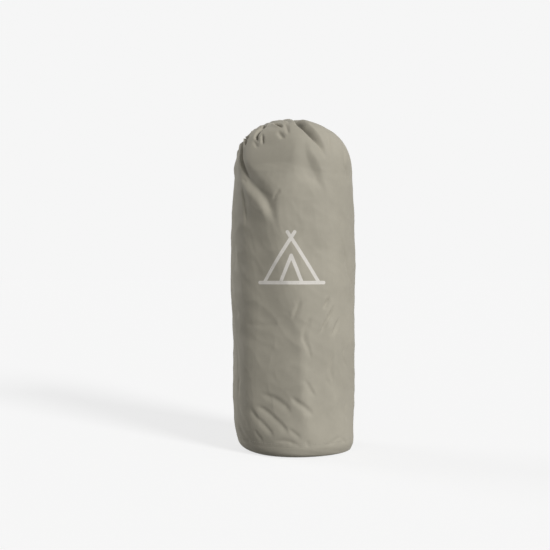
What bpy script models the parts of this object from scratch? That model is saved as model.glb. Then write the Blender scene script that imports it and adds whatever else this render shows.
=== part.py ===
"""A packed camping tent: a drawstring sack round the rolled tent, its folded poles and its pegs.

Run it with blender --background --python part.py, or from Blender's text editor.
Units are metres and +Z is up. The origin is the middle of the sack's flat base.
The sack's front is at -Y and its right-hand side at +X.

Sizes grow from the inside out: the pole tube sets the pole bundle, the bundle sets the core of
the roll, the folded cloth wound round it sets the roll, and the sack is cut to fit the roll.
"""

import math
from typing import NamedTuple

import bmesh
import bpy
from mathutils import Vector

# Clearances between pieces
SEAT_GAP = 0.0003
POLE_GAP = 0.0004
ROLL_GAP = 0.0005
SEAM_GAP = 0.0004

# Pole tubes, which fold up side by side on their shock cords
POLE_RADIUS = 0.0055
POLE_WALL = 0.0006
INSERT_CLEARANCE = 0.0004
INSERT_WALL = 0.0006
INSERT_LENGTH = 0.045
INSERT_SEAT = 0.040
SECTION_LENGTH = 0.515
POLE_SIDES = 8
MAIN_POLE_SECTIONS = 7
BROW_POLE_SECTIONS = 5
SHOCK_CORD_RADIUS = 0.0012
TIP_HEAD_LENGTH = 0.012
TIP_HEAD_STEP = 0.0005
TIP_NOSE_LENGTH = 0.0025
TIP_NOSE_SHARE = 0.6
TIP_PLUG_CLEARANCE = 0.0007
TIP_PLUG_LENGTH = 0.020

# Tent pegs and the sleeve that mends a broken pole
PEG_RADIUS = 0.0025
PEG_LENGTH = 0.155
PEG_HOOK_RADIUS = 0.0065
PEG_HOOK_DROP = 0.009
PEG_POINT_LENGTH = 0.012
PEGS_PER_STACK = 5
PEG_GAP = 0.0004
SLEEVE_WALL = 0.0007
SLEEVE_LENGTH = 0.110
SLEEVE_SIDES = 12

# Cloth
SACK_CLOTH = 0.0012
BAG_CLOTH = 0.0008
BODY_PACK = 0.0125
FLY_PACK = 0.0071
ROLL_TURNS = 3
ROLL_STEPS_PER_TURN = 18
ROLL_OVER_POLES = 0.0025
ROLL_FOOT_SHARE = 0.68
ROLL_KNEE_HEIGHT = 0.025
ROLL_KNEE_SHARE = 0.93
ROLL_FULL_HEIGHT = 0.060
ROLL_BROW_DEPTH = 0.036
ROLL_TOP_SHARE = 0.93
POLE_BAG_FOOT = 0.004
POLE_BAG_BROW = 0.003
POLE_BAG_FOLD_SHARE = 0.45
POLE_BAG_FOLD_RISE = 0.0008

# The sack's outline
SEAM_HEIGHT = 0.0220
BASE_CORNER_LEFT = 0.0310
BASE_CORNER_RIGHT = 0.0070
BASE_CORNER_DEPTH = 0.0200
SHOULDER_DROP = 0.027
SACK_SIDES = 48
PLEATS = 16
PLEAT_DEPTH = 0.0034
PLEAT_FADE = math.radians(50)
DOME_STEPS = 7
DOME_FULLNESS = 0.77
DOME_BULGE = 0.0045
DOME_BULGE_FACING = math.radians(-20)

# The gathered mouth, which leans to the back left
MOUTH_OFFSET = Vector((-0.050, 0.045, 0.083))
MOUTH_FACING = Vector((-0.35, 0.45, 0.82)).normalized()
MOUTH_RIM_RADIUS = 0.058
CASING_RADIUS = 0.0050
CASING_PUCKER = 0.0006
CASING_STEPS = 36
CASING_SIDES = 6
CASING_OPENING = 0.0200
DRAWCORD_RADIUS = 0.0018
CORD_CLEARANCE = 0.0005

# The cord lock, which hangs at the back below the mouth
LOCK_DROP = 0.026
LOCK_CLEARANCE = 0.0005
LOCK_RADIUS = 0.0085
LOCK_WALL = 0.0022
LOCK_SIDES = 24
LOCK_ABOVE_CORD = 0.0075
LOCK_EDGE = 0.0012
PLUNGER_CLEARANCE = 0.0003
PLUNGER_TRAVEL = 0.0035
PLUNGER_PROUD = 0.0010
PLUNGER_FOOT = 0.0020
SPRING_WIRE = 0.0004
SPRING_TURNS = 4
SPRING_POINTS_PER_TURN = 10
SPRING_SOLID_GAP = 0.0005
SPRING_SIDE_GAP = 0.0010
CORD_LANE_GAP = 0.0004
CORD_HOLE_SIDE_GAP = 0.0004
CORD_HOLE_CORNER = 0.0012
KNOT_OPENING = 0.0014
KNOT_THROW_OVER = 0.0005
KNOT_DROP = 0.004

# What the sizes above add up to
POLE_BORE = POLE_RADIUS - POLE_WALL
INSERT_RADIUS = POLE_BORE - INSERT_CLEARANCE
INSERT_BORE = INSERT_RADIUS - INSERT_WALL
TIP_HEAD_RADIUS = POLE_RADIUS - TIP_HEAD_STEP
TIP_PLUG_RADIUS = POLE_BORE - TIP_PLUG_CLEARANCE
POLE_PITCH = 2 * POLE_RADIUS + POLE_GAP
FOLDED_LENGTH = SECTION_LENGTH + INSERT_LENGTH
BUNDLE_RADIUS = 2 * POLE_PITCH + POLE_RADIUS
CORD_OFFSET = INSERT_BORE * math.cos(math.pi / POLE_SIDES) - SHOCK_CORD_RADIUS - SEAT_GAP
CORD_LOOP_RADIUS = POLE_PITCH / 2 - CORD_OFFSET
CORD_LOOP_HEIGHT = CORD_LOOP_RADIUS + SHOCK_CORD_RADIUS

CONTENTS_FLOOR = SACK_CLOTH + SEAT_GAP
BUNDLE_FLOOR = CONTENTS_FLOOR + BAG_CLOTH + SEAT_GAP + CORD_LOOP_HEIGHT
BUNDLE_MIDDLE = BUNDLE_FLOOR + FOLDED_LENGTH / 2
BUNDLE_TOP = BUNDLE_FLOOR + FOLDED_LENGTH + CORD_LOOP_HEIGHT
POLE_BAG_RADIUS = BUNDLE_RADIUS + POLE_GAP + BAG_CLOTH
POLE_BAG_TOP = BUNDLE_TOP + SEAT_GAP + BAG_CLOTH
ROLL_CORE_RADIUS = POLE_BAG_RADIUS + ROLL_GAP
ROLL_PITCH = BODY_PACK + FLY_PACK + 2 * ROLL_GAP
ROLL_RADIUS = ROLL_CORE_RADIUS + ROLL_PITCH * (ROLL_TURNS + 1) - ROLL_GAP
ROLL_TOP = POLE_BAG_TOP + ROLL_OVER_POLES
SHOULDER_HEIGHT = ROLL_TOP - SHOULDER_DROP

PEG_PITCH = 2 * PEG_RADIUS + PEG_GAP
PEG_STACK_HEIGHT = PEGS_PER_STACK * PEG_PITCH - PEG_GAP
SLEEVE_BORE = POLE_RADIUS + SEAT_GAP
SLEEVE_RADIUS = SLEEVE_BORE + SLEEVE_WALL
PEG_OFFSET = PEG_RADIUS + PEG_GAP / 2
HOOK_REACH = PEG_OFFSET + 2 * PEG_HOOK_RADIUS + PEG_RADIUS
SLEEVE_OFFSET = PEG_OFFSET + PEG_RADIUS + PEG_GAP + SLEEVE_RADIUS
PEG_BAG_HALF_WIDTH = max(HOOK_REACH, SLEEVE_OFFSET + SLEEVE_RADIUS) + PEG_GAP + BAG_CLOTH
PEG_BAG_HEIGHT = max(PEG_STACK_HEIGHT, 2 * SLEEVE_RADIUS) + 2 * (PEG_GAP + BAG_CLOTH)
PEG_BAG_END = 0.006
PEG_BAG_POSITION = Vector((0.004, -0.014, ROLL_TOP + SEAT_GAP + PEG_BAG_HEIGHT / 2))

MOUTH_CENTRE = Vector((0, 0, SHOULDER_HEIGHT)) + MOUTH_OFFSET
MOUTH_RIGHT = Vector((0, 1, 0)).cross(MOUTH_FACING).normalized()
MOUTH_BACK = MOUTH_FACING.cross(MOUTH_RIGHT).normalized()
CASING_RING_RADIUS = MOUTH_RIM_RADIUS - CASING_RADIUS - CASING_PUCKER - 3 * SEAT_GAP
CASING_BORE = (DRAWCORD_RADIUS + CORD_CLEARANCE) / math.cos(math.pi / CASING_SIDES)

LOCK_BORE = LOCK_RADIUS - LOCK_WALL
PLUNGER_RADIUS = LOCK_BORE * math.cos(math.pi / LOCK_SIDES) - PLUNGER_CLEARANCE
CORD_SPACING = DRAWCORD_RADIUS + CORD_LANE_GAP / 2
CORD_WINDOW = DRAWCORD_RADIUS + SEAT_GAP
CORD_HOLE_HEIGHT = 2 * CORD_WINDOW + PLUNGER_TRAVEL
CORD_HOLE_HALF_WIDTH = CORD_SPACING + DRAWCORD_RADIUS + CORD_HOLE_SIDE_GAP
KNOT_RADIUS = 2 * DRAWCORD_RADIUS + KNOT_OPENING
KNOT_THROW = DRAWCORD_RADIUS + KNOT_THROW_OVER
PLUNGER_BOTTOM = -CORD_WINDOW - PLUNGER_FOOT
SPRING_SOLID_HEIGHT = SPRING_TURNS * (2 * SPRING_WIRE) + 2 * SPRING_WIRE + SPRING_SOLID_GAP
LOCK_CAVITY_FLOOR = PLUNGER_BOTTOM - PLUNGER_TRAVEL - SPRING_SOLID_HEIGHT
LOCK_BOTTOM = LOCK_CAVITY_FLOOR - LOCK_WALL


class Station(NamedTuple):
    """One level of the sack's side panel: where it is and how far it stands off the roll."""

    rise: float  # share of the way from the base seam to the shoulder
    shift: float  # how far its middle lies to the right
    ease_width: float  # half width beyond the roll
    ease_depth: float  # half depth beyond the roll


SIDE_STATIONS = (
    Station(0.000, 0.0060, 0.0060, 0.0000),
    Station(0.049, 0.0025, 0.0090, 0.0035),
    Station(0.147, 0.0015, 0.0120, 0.0055),
    Station(0.375, 0.0015, 0.0120, 0.0065),
    Station(0.526, -0.0005, 0.0140, 0.0075),
    Station(0.687, -0.0005, 0.0160, 0.0085),
    Station(0.837, -0.0010, 0.0150, 0.0085),
    Station(0.924, -0.0005, 0.0120, 0.0070),
    Station(1.000, 0.0005, 0.0090, 0.0045),
)


class Finish(NamedTuple):
    """A material's colour, roughness and metallic value."""

    colour: tuple
    roughness: float
    metallic: float


FINISHES = {
    "sack_cloth": Finish((0.38, 0.355, 0.295), 0.50, 0.0),
    "tent_body_cloth": Finish((0.52, 0.50, 0.44), 0.70, 0.0),
    "rainfly_cloth": Finish((0.62, 0.27, 0.08), 0.55, 0.0),
    "bag_cloth": Finish((0.22, 0.23, 0.22), 0.60, 0.0),
    "drawcord": Finish((0.05, 0.05, 0.05), 0.75, 0.0),
    "shock_cord": Finish((0.12, 0.12, 0.12), 0.80, 0.0),
    "pole_tube": Finish((0.55, 0.56, 0.58), 0.35, 1.0),
    "pole_tip": Finish((0.08, 0.08, 0.08), 0.45, 0.0),
    "peg_metal": Finish((0.60, 0.60, 0.62), 0.30, 1.0),
    "lock_plastic": Finish((0.03, 0.03, 0.03), 0.40, 0.0),
    "spring_steel": Finish((0.62, 0.62, 0.64), 0.25, 1.0),
}


def clear_scene():
    """Take out whatever the scene holds."""
    for found in list(bpy.data.objects):
        bpy.data.objects.remove(found, do_unlink=True)


def material_for(slot):
    """The Principled material of a finish, made the first time it is asked for."""
    made = bpy.data.materials.get(slot)
    if made:
        return made
    finish = FINISHES[slot]
    made = bpy.data.materials.new(slot)
    made.use_nodes = True
    shader = made.node_tree.nodes["Principled BSDF"]
    shader.inputs["Base Color"].default_value = (*finish.colour, 1.0)
    shader.inputs["Roughness"].default_value = finish.roughness
    shader.inputs["Metallic"].default_value = finish.metallic
    made.diffuse_color = (*finish.colour, 1.0)
    return made


def frame_at(name, location):
    """An empty that carries the pieces of one group."""
    empty = bpy.data.objects.new(name, None)
    empty.location = location
    bpy.context.scene.collection.objects.link(empty)
    return empty


def place(name, data, slot, parent=None, location=(0, 0, 0), rotation=(0, 0, 0)):
    """Put a mesh or a curve in the scene as one named piece."""
    piece = bpy.data.objects.new(name, data)
    piece.location = location
    piece.rotation_euler = rotation
    piece.parent = parent
    bpy.context.scene.collection.objects.link(piece)
    if data.materials:
        return piece
    data.materials.append(material_for(slot))
    return piece


def mesh_from(bm, name, smooth_angle=40):
    """Turn a bmesh into a mesh that is smooth apart from its real edges."""
    bmesh.ops.recalc_face_normals(bm, faces=bm.faces)
    mesh = bpy.data.meshes.new(name)
    bm.to_mesh(mesh)
    bm.free()
    mesh.shade_smooth()
    mesh.set_sharp_from_angle(angle=math.radians(smooth_angle))
    return mesh


def skin(name, loops, cap_first=True, cap_last=True, join_ends=False):
    """A loft: quads between each loop of points and the next.

    The caps fill the first and the last loop. join_ends runs on from the last to the first instead.
    """
    bm = bmesh.new()
    rings = [[bm.verts.new(point) for point in loop] for loop in loops]
    pairs = list(zip(rings, rings[1:]))
    if join_ends:
        pairs.append((rings[-1], rings[0]))
    for lower, upper in pairs:
        count = len(lower)
        for i in range(count):
            j = (i + 1) % count
            bm.faces.new((lower[i], lower[j], upper[j], upper[i]))
    if cap_first and not join_ends:
        bm.faces.new(list(reversed(rings[0])))
    if cap_last and not join_ends:
        bm.faces.new(rings[-1])
    return mesh_from(bm, name)


def turned(name, profile, sides, closed=True):
    """Spin a profile of (radius, height) points about the Z axis.

    A closed profile makes a tube. An open one starts and ends on the axis.
    """
    bm = bmesh.new()
    points = [bm.verts.new((radius, 0, height)) for radius, height in profile]
    edges = [bm.edges.new(pair) for pair in zip(points, points[1:])]
    if closed:
        edges.append(bm.edges.new((points[-1], points[0])))
    bmesh.ops.spin(
        bm,
        geom=points + edges,
        cent=(0, 0, 0),
        axis=(0, 0, 1),
        angle=2 * math.pi,
        steps=sides,
        use_merge=True,
    )
    bmesh.ops.remove_doubles(bm, verts=bm.verts, dist=1e-6)
    return mesh_from(bm, name)


def cord_curve(name, points, radius, resolution=1, cyclic=False, tapers=None):
    """A round cord or rod along a line of points. tapers gives the points' own radius shares."""
    curve = bpy.data.curves.new(name, "CURVE")
    curve.dimensions = "3D"
    curve.bevel_depth = radius
    curve.bevel_resolution = resolution
    curve.use_fill_caps = not cyclic
    spline = curve.splines.new("POLY")
    spline.points.add(len(points) - 1)
    for i, (knot, point) in enumerate(zip(spline.points, points)):
        knot.co = (*point, 1.0)
        knot.radius = tapers[i] if tapers else 1.0
    spline.use_cyclic_u = cyclic
    return curve


def smooth_line(knots, steps):
    """Points on the smooth curve through the knots, steps of them to each stretch."""
    ends = [knots[0] * 2 - knots[1], *knots, knots[-1] * 2 - knots[-2]]
    line = []
    for before, start, end, after in zip(ends, ends[1:], ends[2:], ends[3:]):
        for step in range(steps):
            t = step / steps
            line.append(
                0.5
                * (
                    2 * start
                    + (end - before) * t
                    + (2 * before - 5 * start + 4 * end - after) * t**2
                    + (3 * start - before - 3 * end + after) * t**3
                )
            )
    line.append(knots[-1])
    return line


def print_least_gap(name, points, radius, skip, cyclic=False):
    """Print how near a wound tube comes to itself, leaving out each point's own stretch."""
    count = len(points)
    gaps = []
    for i in range(count):
        for j in range(i + skip, count):
            if cyclic and i + count - j < skip:
                continue
            gaps.append((points[i] - points[j]).length - 2 * radius)
    print(f"{name}: {min(gaps) * 1000:.2f} mm at the least between its turns")


def thicken(piece, thickness, offset=-1.0):
    """Give a single sheet of cloth its thickness, on its inner side."""
    solidify = piece.modifiers.new("cloth thickness", "SOLIDIFY")
    solidify.thickness = thickness
    solidify.offset = offset
    solidify.use_even_offset = False
    solidify.use_rim = True
    return piece


def cut_with(piece, cutter):
    """Cut a hidden helper's shape out of a piece."""
    cutter.hide_render = True
    cutter.display_type = "WIRE"
    boolean = piece.modifiers.new("cut " + cutter.name, "BOOLEAN")
    boolean.operation = "DIFFERENCE"
    boolean.solver = "EXACT"
    boolean.object = cutter
    return piece


# The sack


def ring_angles(sides):
    """The angles of a ring's points, from +X towards +Y."""
    return [2 * math.pi * i / sides for i in range(sides)]


def side_loop(station):
    """One level of the side panel, an upright oval."""
    height = SEAM_HEIGHT + station.rise * (SHOULDER_HEIGHT - SEAM_HEIGHT)
    half_width = ROLL_RADIUS + station.ease_width
    half_depth = ROLL_RADIUS + station.ease_depth
    return [
        Vector((station.shift + half_width * math.cos(a), half_depth * math.sin(a), height))
        for a in ring_angles(SACK_SIDES)
    ]


def mouth_point(angle, radius, rise=0.0):
    """A point of the mouth's own tilted ring. The angle runs from the ring's right, past its back."""
    across = MOUTH_RIGHT * math.cos(angle) + MOUTH_BACK * math.sin(angle)
    return MOUTH_CENTRE + across * radius + MOUTH_FACING * rise


def pleat_share(angle):
    """How deep the pleats are at an angle: they fade out where the drawcord leaves."""
    away = abs(math.atan2(math.sin(angle - math.pi / 2), math.cos(angle - math.pi / 2)))
    return min(1.0, away / PLEAT_FADE) ** 2


def dome_loop(shoulder, share):
    """One level of the gathered top, share of the way from the shoulder to the mouth's rim."""
    turn = share * math.pi / 2
    across = 1 - math.cos(turn) ** DOME_FULLNESS
    up = math.sin(turn) ** DOME_FULLNESS
    loop = []
    for start, angle in zip(shoulder, ring_angles(SACK_SIDES)):
        rim = mouth_point(angle, MOUTH_RIM_RADIUS)
        facing = 0.5 + 0.5 * math.cos(angle - DOME_BULGE_FACING)
        bulge = DOME_BULGE * 4 * across * (1 - across) * facing
        point = Vector(
            (
                start.x + (rim.x - start.x) * across,
                start.y + (rim.y - start.y) * across,
                start.z + (rim.z - start.z) * up + bulge,
            )
        )
        pleat = PLEAT_DEPTH * share**2 * pleat_share(angle) * math.cos(PLEATS * angle)
        loop.append(point + MOUTH_FACING * pleat)
    return loop


def build_side_panel():
    """The cloth tube of the sack, from the base seam up over the shoulder to the mouth."""
    loops = [side_loop(station) for station in SIDE_STATIONS]
    shoulder = loops[-1]
    loops += [dome_loop(shoulder, step / DOME_STEPS) for step in range(1, DOME_STEPS + 1)]
    tube = skin("sack_side_panel", loops, cap_first=False, cap_last=False)
    return thicken(place("sack_side_panel", tube, "sack_cloth"), SACK_CLOTH)


def build_base_panel():
    """The round base, flat underneath and curled up to its seam with the side panel."""
    seam = side_loop(SIDE_STATIONS[0])
    curl_steps = 4
    loops = []
    for step in range(curl_steps + 1):
        turn = step / curl_steps * math.pi / 2
        height = (SEAM_HEIGHT - SEAM_GAP) * (1 - math.cos(turn))
        loop = []
        for point in seam:
            leaning = 0.5 - 0.5 * point.x / max(abs(p.x) for p in seam)
            corner = BASE_CORNER_RIGHT + (BASE_CORNER_LEFT - BASE_CORNER_RIGHT) * leaning
            drawn_in = (1 - math.sin(turn)) / ROLL_RADIUS
            x = point.x * (1 - corner * drawn_in)
            y = point.y * (1 - BASE_CORNER_DEPTH * drawn_in)
            loop.append(Vector((x, y, height)))
        loops.append(loop)
    dish = skin("sack_base_panel", loops, cap_last=False)
    return thicken(place("sack_base_panel", dish, "sack_cloth"), SACK_CLOTH)


def casing_section(angle, radius):
    """The points round the casing's own middle line at one angle of the mouth."""
    return [
        mouth_point(angle, CASING_RING_RADIUS + radius * math.cos(a), radius * math.sin(a))
        for a in ring_angles(CASING_SIDES)
    ]


def build_mouth_casing():
    """The hem tube that the drawcord runs in. It is open at the back, where both ends come out."""
    half_open = CASING_OPENING / 2 / CASING_RING_RADIUS
    start = math.pi / 2 + half_open
    sweep = 2 * math.pi - 2 * half_open
    outer, inner = [], []
    for step in range(CASING_STEPS + 1):
        angle = start + sweep * step / CASING_STEPS
        pucker = CASING_PUCKER if step % 2 else 0
        outer.append(casing_section(angle, CASING_RADIUS + pucker))
        inner.append(casing_section(angle, CASING_BORE))
    loops = outer + list(reversed(inner))
    return place("mouth_casing", skin("mouth_casing", loops, join_ends=True), "sack_cloth")


def lock_origin():
    """Where the two cord ends run through the lock: straight below the mouth's back, off the cloth."""
    back_rim = mouth_point(math.pi / 2, MOUTH_RIM_RADIUS)
    shoulder = SIDE_STATIONS[-1]
    barrel_end = back_rim.x + LOCK_ABOVE_CORD
    share = (barrel_end - shoulder.shift) / (ROLL_RADIUS + shoulder.ease_width)
    cloth = (ROLL_RADIUS + shoulder.ease_depth) * math.sqrt(1 - share**2)
    return Vector((back_rim.x, cloth + LOCK_CLEARANCE + LOCK_RADIUS, back_rim.z - LOCK_DROP))


def drawcord_end(side):
    """The knots of one cord end: out of the casing, over the rim and down through the lock.

    The left end (-1) runs in the outer lane of the lock, and the right end (1) in the inner one.
    """
    lock = lock_origin()
    half_open = CASING_OPENING / 2 / CASING_RING_RADIUS
    lane = lock.y - side * CORD_SPACING
    over = DRAWCORD_RADIUS + 0.0012
    rim = mouth_point(math.pi / 2, MOUTH_RIM_RADIUS)
    return [
        mouth_point(math.pi / 2 - side * 0.93 * half_open, CASING_RING_RADIUS),
        mouth_point(math.pi / 2 - side * 0.55 * half_open, MOUTH_RIM_RADIUS - 0.0010, over),
        Vector((rim.x + side * 0.0036, rim.y + 0.50 * (lane - rim.y), rim.z - 0.0005)),
        Vector((rim.x + side * 0.0018, lane - 0.0032, rim.z - 0.0070)),
        Vector((lock.x, lane, lock.z + LOCK_RADIUS + 0.0015)),
        Vector((lock.x, lane, lock.z - LOCK_RADIUS - KNOT_DROP)),
    ]


def build_drawcord():
    """One cord: in through the lock, round the whole casing and out through the lock again."""
    half_open = CASING_OPENING / 2 / CASING_RING_RADIUS
    start = math.pi / 2 + half_open
    sweep = 2 * math.pi - 2 * half_open
    ring = [
        mouth_point(start + sweep * step / CASING_STEPS, CASING_RING_RADIUS)
        for step in range(1, CASING_STEPS)
    ]
    left = smooth_line(list(reversed(drawcord_end(-1))), 3)
    right = smooth_line(drawcord_end(1), 3)
    points = left + ring + right
    return place("drawcord", cord_curve("drawcord", points, DRAWCORD_RADIUS, 2), "drawcord")


def build_drawcord_knot():
    """The overhand knot that ties the two cord ends together below the lock."""
    steps = 36
    points = []
    for step in range(steps):
        t = 2 * math.pi * step / steps
        reach = KNOT_RADIUS + KNOT_THROW * math.cos(3 * t)
        x = reach * math.sin(2 * t)
        z = reach * math.cos(2 * t)
        points.append(Vector((x, KNOT_THROW * math.sin(3 * t), z)))
    cord_end = lock_origin() - Vector((0, 0, LOCK_RADIUS + KNOT_DROP))
    centre = cord_end - Vector((0, 0, SEAT_GAP + DRAWCORD_RADIUS + KNOT_THROW + KNOT_RADIUS))
    print_least_gap("drawcord_knot", points, DRAWCORD_RADIUS, steps // 6, cyclic=True)
    curve = cord_curve("drawcord_knot", points, DRAWCORD_RADIUS, 1, cyclic=True)
    return place("drawcord_knot", curve, "drawcord", location=centre)


def rounded_outline(half_width, half_height, corner, steps):
    """A rectangle's outline with rounded corners, each of which has that many steps."""
    outline = []
    for quarter, (side, level) in enumerate(((1, 1), (-1, 1), (-1, -1), (1, -1))):
        for step in range(steps + 1):
            a = (quarter + step / steps) * math.pi / 2
            across = side * (half_width - corner) + corner * math.cos(a)
            up = level * (half_height - corner) + corner * math.sin(a)
            outline.append((across, up))
    return outline


def slot_cutter(name, bottom, height, parent):
    """A rounded slot across the lock, for the two cord ends side by side."""
    outline = rounded_outline(CORD_HOLE_HALF_WIDTH, height / 2, CORD_HOLE_CORNER, 4)
    reach = 2 * LOCK_RADIUS
    loops = [[Vector((x, y, bottom + height / 2 + z)) for y, z in outline] for x in (-reach, reach)]
    return place(name, skin(name, loops), "lock_plastic", parent)


def build_cord_lock():
    """A barrel lock: a spring pushes its plunger, which pinches the cord in the barrel's slot."""
    frame = frame_at("cord_lock", lock_origin())
    frame.rotation_euler = (0, math.pi / 2, 0)
    top = LOCK_ABOVE_CORD
    barrel_profile = (
        (LOCK_BORE, top),
        (LOCK_BORE, LOCK_CAVITY_FLOOR),
        (0.0, LOCK_CAVITY_FLOOR),
        (0.0, LOCK_BOTTOM),
        (LOCK_RADIUS - 2 * LOCK_EDGE, LOCK_BOTTOM),
        (LOCK_RADIUS, LOCK_BOTTOM + 2 * LOCK_EDGE),
        (LOCK_RADIUS, top - LOCK_EDGE),
        (LOCK_RADIUS - LOCK_EDGE, top),
    )
    barrel = place(
        "cord_lock_barrel", turned("cord_lock_barrel", barrel_profile, LOCK_SIDES), "lock_plastic", frame
    )
    barrel_slot = slot_cutter("barrel_slot", CORD_WINDOW - CORD_HOLE_HEIGHT, CORD_HOLE_HEIGHT, frame)
    cut_with(barrel, barrel_slot)

    plunger_top = top + PLUNGER_TRAVEL + PLUNGER_PROUD
    plunger_profile = (
        (0.0, PLUNGER_BOTTOM),
        (PLUNGER_RADIUS, PLUNGER_BOTTOM),
        (PLUNGER_RADIUS, plunger_top - LOCK_EDGE),
        (PLUNGER_RADIUS - LOCK_EDGE / 2, plunger_top - LOCK_EDGE / 3),
        (PLUNGER_RADIUS - 2 * LOCK_EDGE, plunger_top),
        (0.0, plunger_top),
    )
    plunger = place(
        "cord_lock_plunger",
        turned("cord_lock_plunger", plunger_profile, LOCK_SIDES, closed=False),
        "lock_plastic",
        frame,
    )
    plunger_slot = slot_cutter("plunger_slot", -CORD_WINDOW, CORD_HOLE_HEIGHT, frame)
    cut_with(plunger, plunger_slot)

    spring_radius = PLUNGER_RADIUS - SPRING_WIRE - SPRING_SIDE_GAP
    low = LOCK_CAVITY_FLOOR + SEAT_GAP + SPRING_WIRE
    high = PLUNGER_BOTTOM - SEAT_GAP - SPRING_WIRE
    steps = SPRING_TURNS * SPRING_POINTS_PER_TURN
    coil = []
    for step in range(steps + 1):
        a = 2 * math.pi * step / SPRING_POINTS_PER_TURN
        height = low + (high - low) * step / steps
        coil.append(Vector((spring_radius * math.cos(a), spring_radius * math.sin(a), height)))
    print_least_gap("cord_lock_spring", coil, SPRING_WIRE, SPRING_POINTS_PER_TURN * 3 // 4)
    place("cord_lock_spring", cord_curve("cord_lock_spring", coil, SPRING_WIRE, 1), "spring_steel", frame)


# The roll


def roll_levels():
    """(height, share of the full thickness) up the roll: it is squeezed into the base and the top."""
    return (
        (CONTENTS_FLOOR, ROLL_FOOT_SHARE),
        (ROLL_KNEE_HEIGHT, ROLL_KNEE_SHARE),
        (ROLL_FULL_HEIGHT, 1.0),
        (ROLL_TOP - ROLL_BROW_DEPTH, 1.0),
        (ROLL_TOP, ROLL_TOP_SHARE),
    )


def wound_cloth(name, slot, first_radius, thickness):
    """A long folded strip of cloth wound round the pole bag, as a spiral that its own layers clear."""
    loops = []
    for step in range(ROLL_TURNS * ROLL_STEPS_PER_TURN + 1):
        a = 2 * math.pi * step / ROLL_STEPS_PER_TURN
        inner = first_radius + ROLL_PITCH * step / ROLL_STEPS_PER_TURN
        direction = Vector((-math.sin(a), math.cos(a), 0))
        section = []
        for radius, levels in ((inner, roll_levels()), (inner + thickness, reversed(roll_levels()))):
            for height, share in levels:
                squeezed = ROLL_CORE_RADIUS + (radius - ROLL_CORE_RADIUS) * share
                section.append(direction * squeezed + Vector((0, 0, height)))
        loops.append(section)
    return place(name, skin(name, loops), slot)


def build_roll():
    """The tent body and the rainfly, folded to one width and wound up together."""
    wound_cloth("tent_body_roll", "tent_body_cloth", ROLL_CORE_RADIUS, BODY_PACK)
    wound_cloth("rainfly_roll", "rainfly_cloth", ROLL_CORE_RADIUS + BODY_PACK + ROLL_GAP, FLY_PACK)


# The poles


def hexagon_cells():
    """The middle cell and two rings round it, each next to the one before within a ring."""
    steps = [Vector((math.cos(a), math.sin(a))) * POLE_PITCH for a in ring_angles(6)]
    cells = [Vector((0, 0))]
    for ring in (1, 2):
        cell = steps[4] * ring
        for step in steps:
            for _ in range(ring):
                cells.append(cell.copy())
                cell = cell + step
    return cells


def pole_tube(name, bottom, top, insert):
    """A pole section: a plain tube, with the insert that the next section slides over if it has one."""
    if not insert:
        profile = ((POLE_RADIUS, bottom), (POLE_RADIUS, top), (POLE_BORE, top), (POLE_BORE, bottom))
        return turned(name, profile, POLE_SIDES)
    shoulder = top - INSERT_LENGTH
    profile = (
        (POLE_RADIUS, bottom),
        (POLE_RADIUS, shoulder),
        (INSERT_RADIUS, shoulder),
        (INSERT_RADIUS, top),
        (INSERT_BORE, top),
        (INSERT_BORE, shoulder - INSERT_SEAT),
        (POLE_BORE, shoulder - INSERT_SEAT),
        (POLE_BORE, bottom),
    )
    return turned(name, profile, POLE_SIDES)


def pole_tip():
    """The foot that goes in a grommet: a domed head on a plug that fits in the tube's end."""
    low = -FOLDED_LENGTH / 2
    neck = low + TIP_HEAD_LENGTH - SEAT_GAP
    profile = (
        (0.0, low),
        (TIP_HEAD_RADIUS * TIP_NOSE_SHARE, low),
        (TIP_HEAD_RADIUS, low + TIP_NOSE_LENGTH),
        (TIP_HEAD_RADIUS, neck),
        (TIP_PLUG_RADIUS, neck),
        (TIP_PLUG_RADIUS, neck + TIP_PLUG_LENGTH),
        (0.0, neck + TIP_PLUG_LENGTH),
    )
    return turned("pole_tip", profile, POLE_SIDES, closed=False)


def shock_cord_line(cells):
    """The elastic through one folded pole: up one section, over to the next and down it."""
    plug_end = TIP_HEAD_LENGTH - SEAT_GAP + TIP_PLUG_LENGTH + SEAT_GAP
    low, high = BUNDLE_FLOOR, BUNDLE_FLOOR + FOLDED_LENGTH
    line = [Vector((*cells[0], low + plug_end))]
    for i, (here, there) in enumerate(zip(cells, cells[1:])):
        at_top = i % 2 == 0
        end, rise = (high, 1) if at_top else (low, -1)
        across = (there - here).normalized()
        middle = (here + there) / 2
        arc_steps = 6
        for step in range(arc_steps + 1):
            a = math.pi * step / arc_steps
            flat = middle - across * CORD_LOOP_RADIUS * math.cos(a)
            line.append(Vector((*flat, end + rise * CORD_LOOP_RADIUS * math.sin(a))))
    line.append(Vector((*cells[-1], high - plug_end)))
    return line


def build_pole(name, cells, parent, meshes, tip):
    """One folded pole: its sections by turns one way up and the other, its two tips and its cord."""
    last = len(cells) - 1
    for i, cell in enumerate(cells):
        kind = "first" if i == 0 else "last" if i == last else "middle"
        turn = math.pi if i % 2 else 0.0
        place(f"{name}_section_{i + 1}", meshes[kind], "pole_tube", parent, (*cell, 0), (turn, 0, 0))
    place(f"{name}_tip_1", tip, "pole_tip", parent, (*cells[0], 0))
    place(f"{name}_tip_2", tip, "pole_tip", parent, (*cells[last], 0), (math.pi, 0, 0))
    line = shock_cord_line(cells)
    place(f"{name}_shock_cord", cord_curve(f"{name}_shock_cord", line, SHOCK_CORD_RADIUS), "shock_cord")


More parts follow.
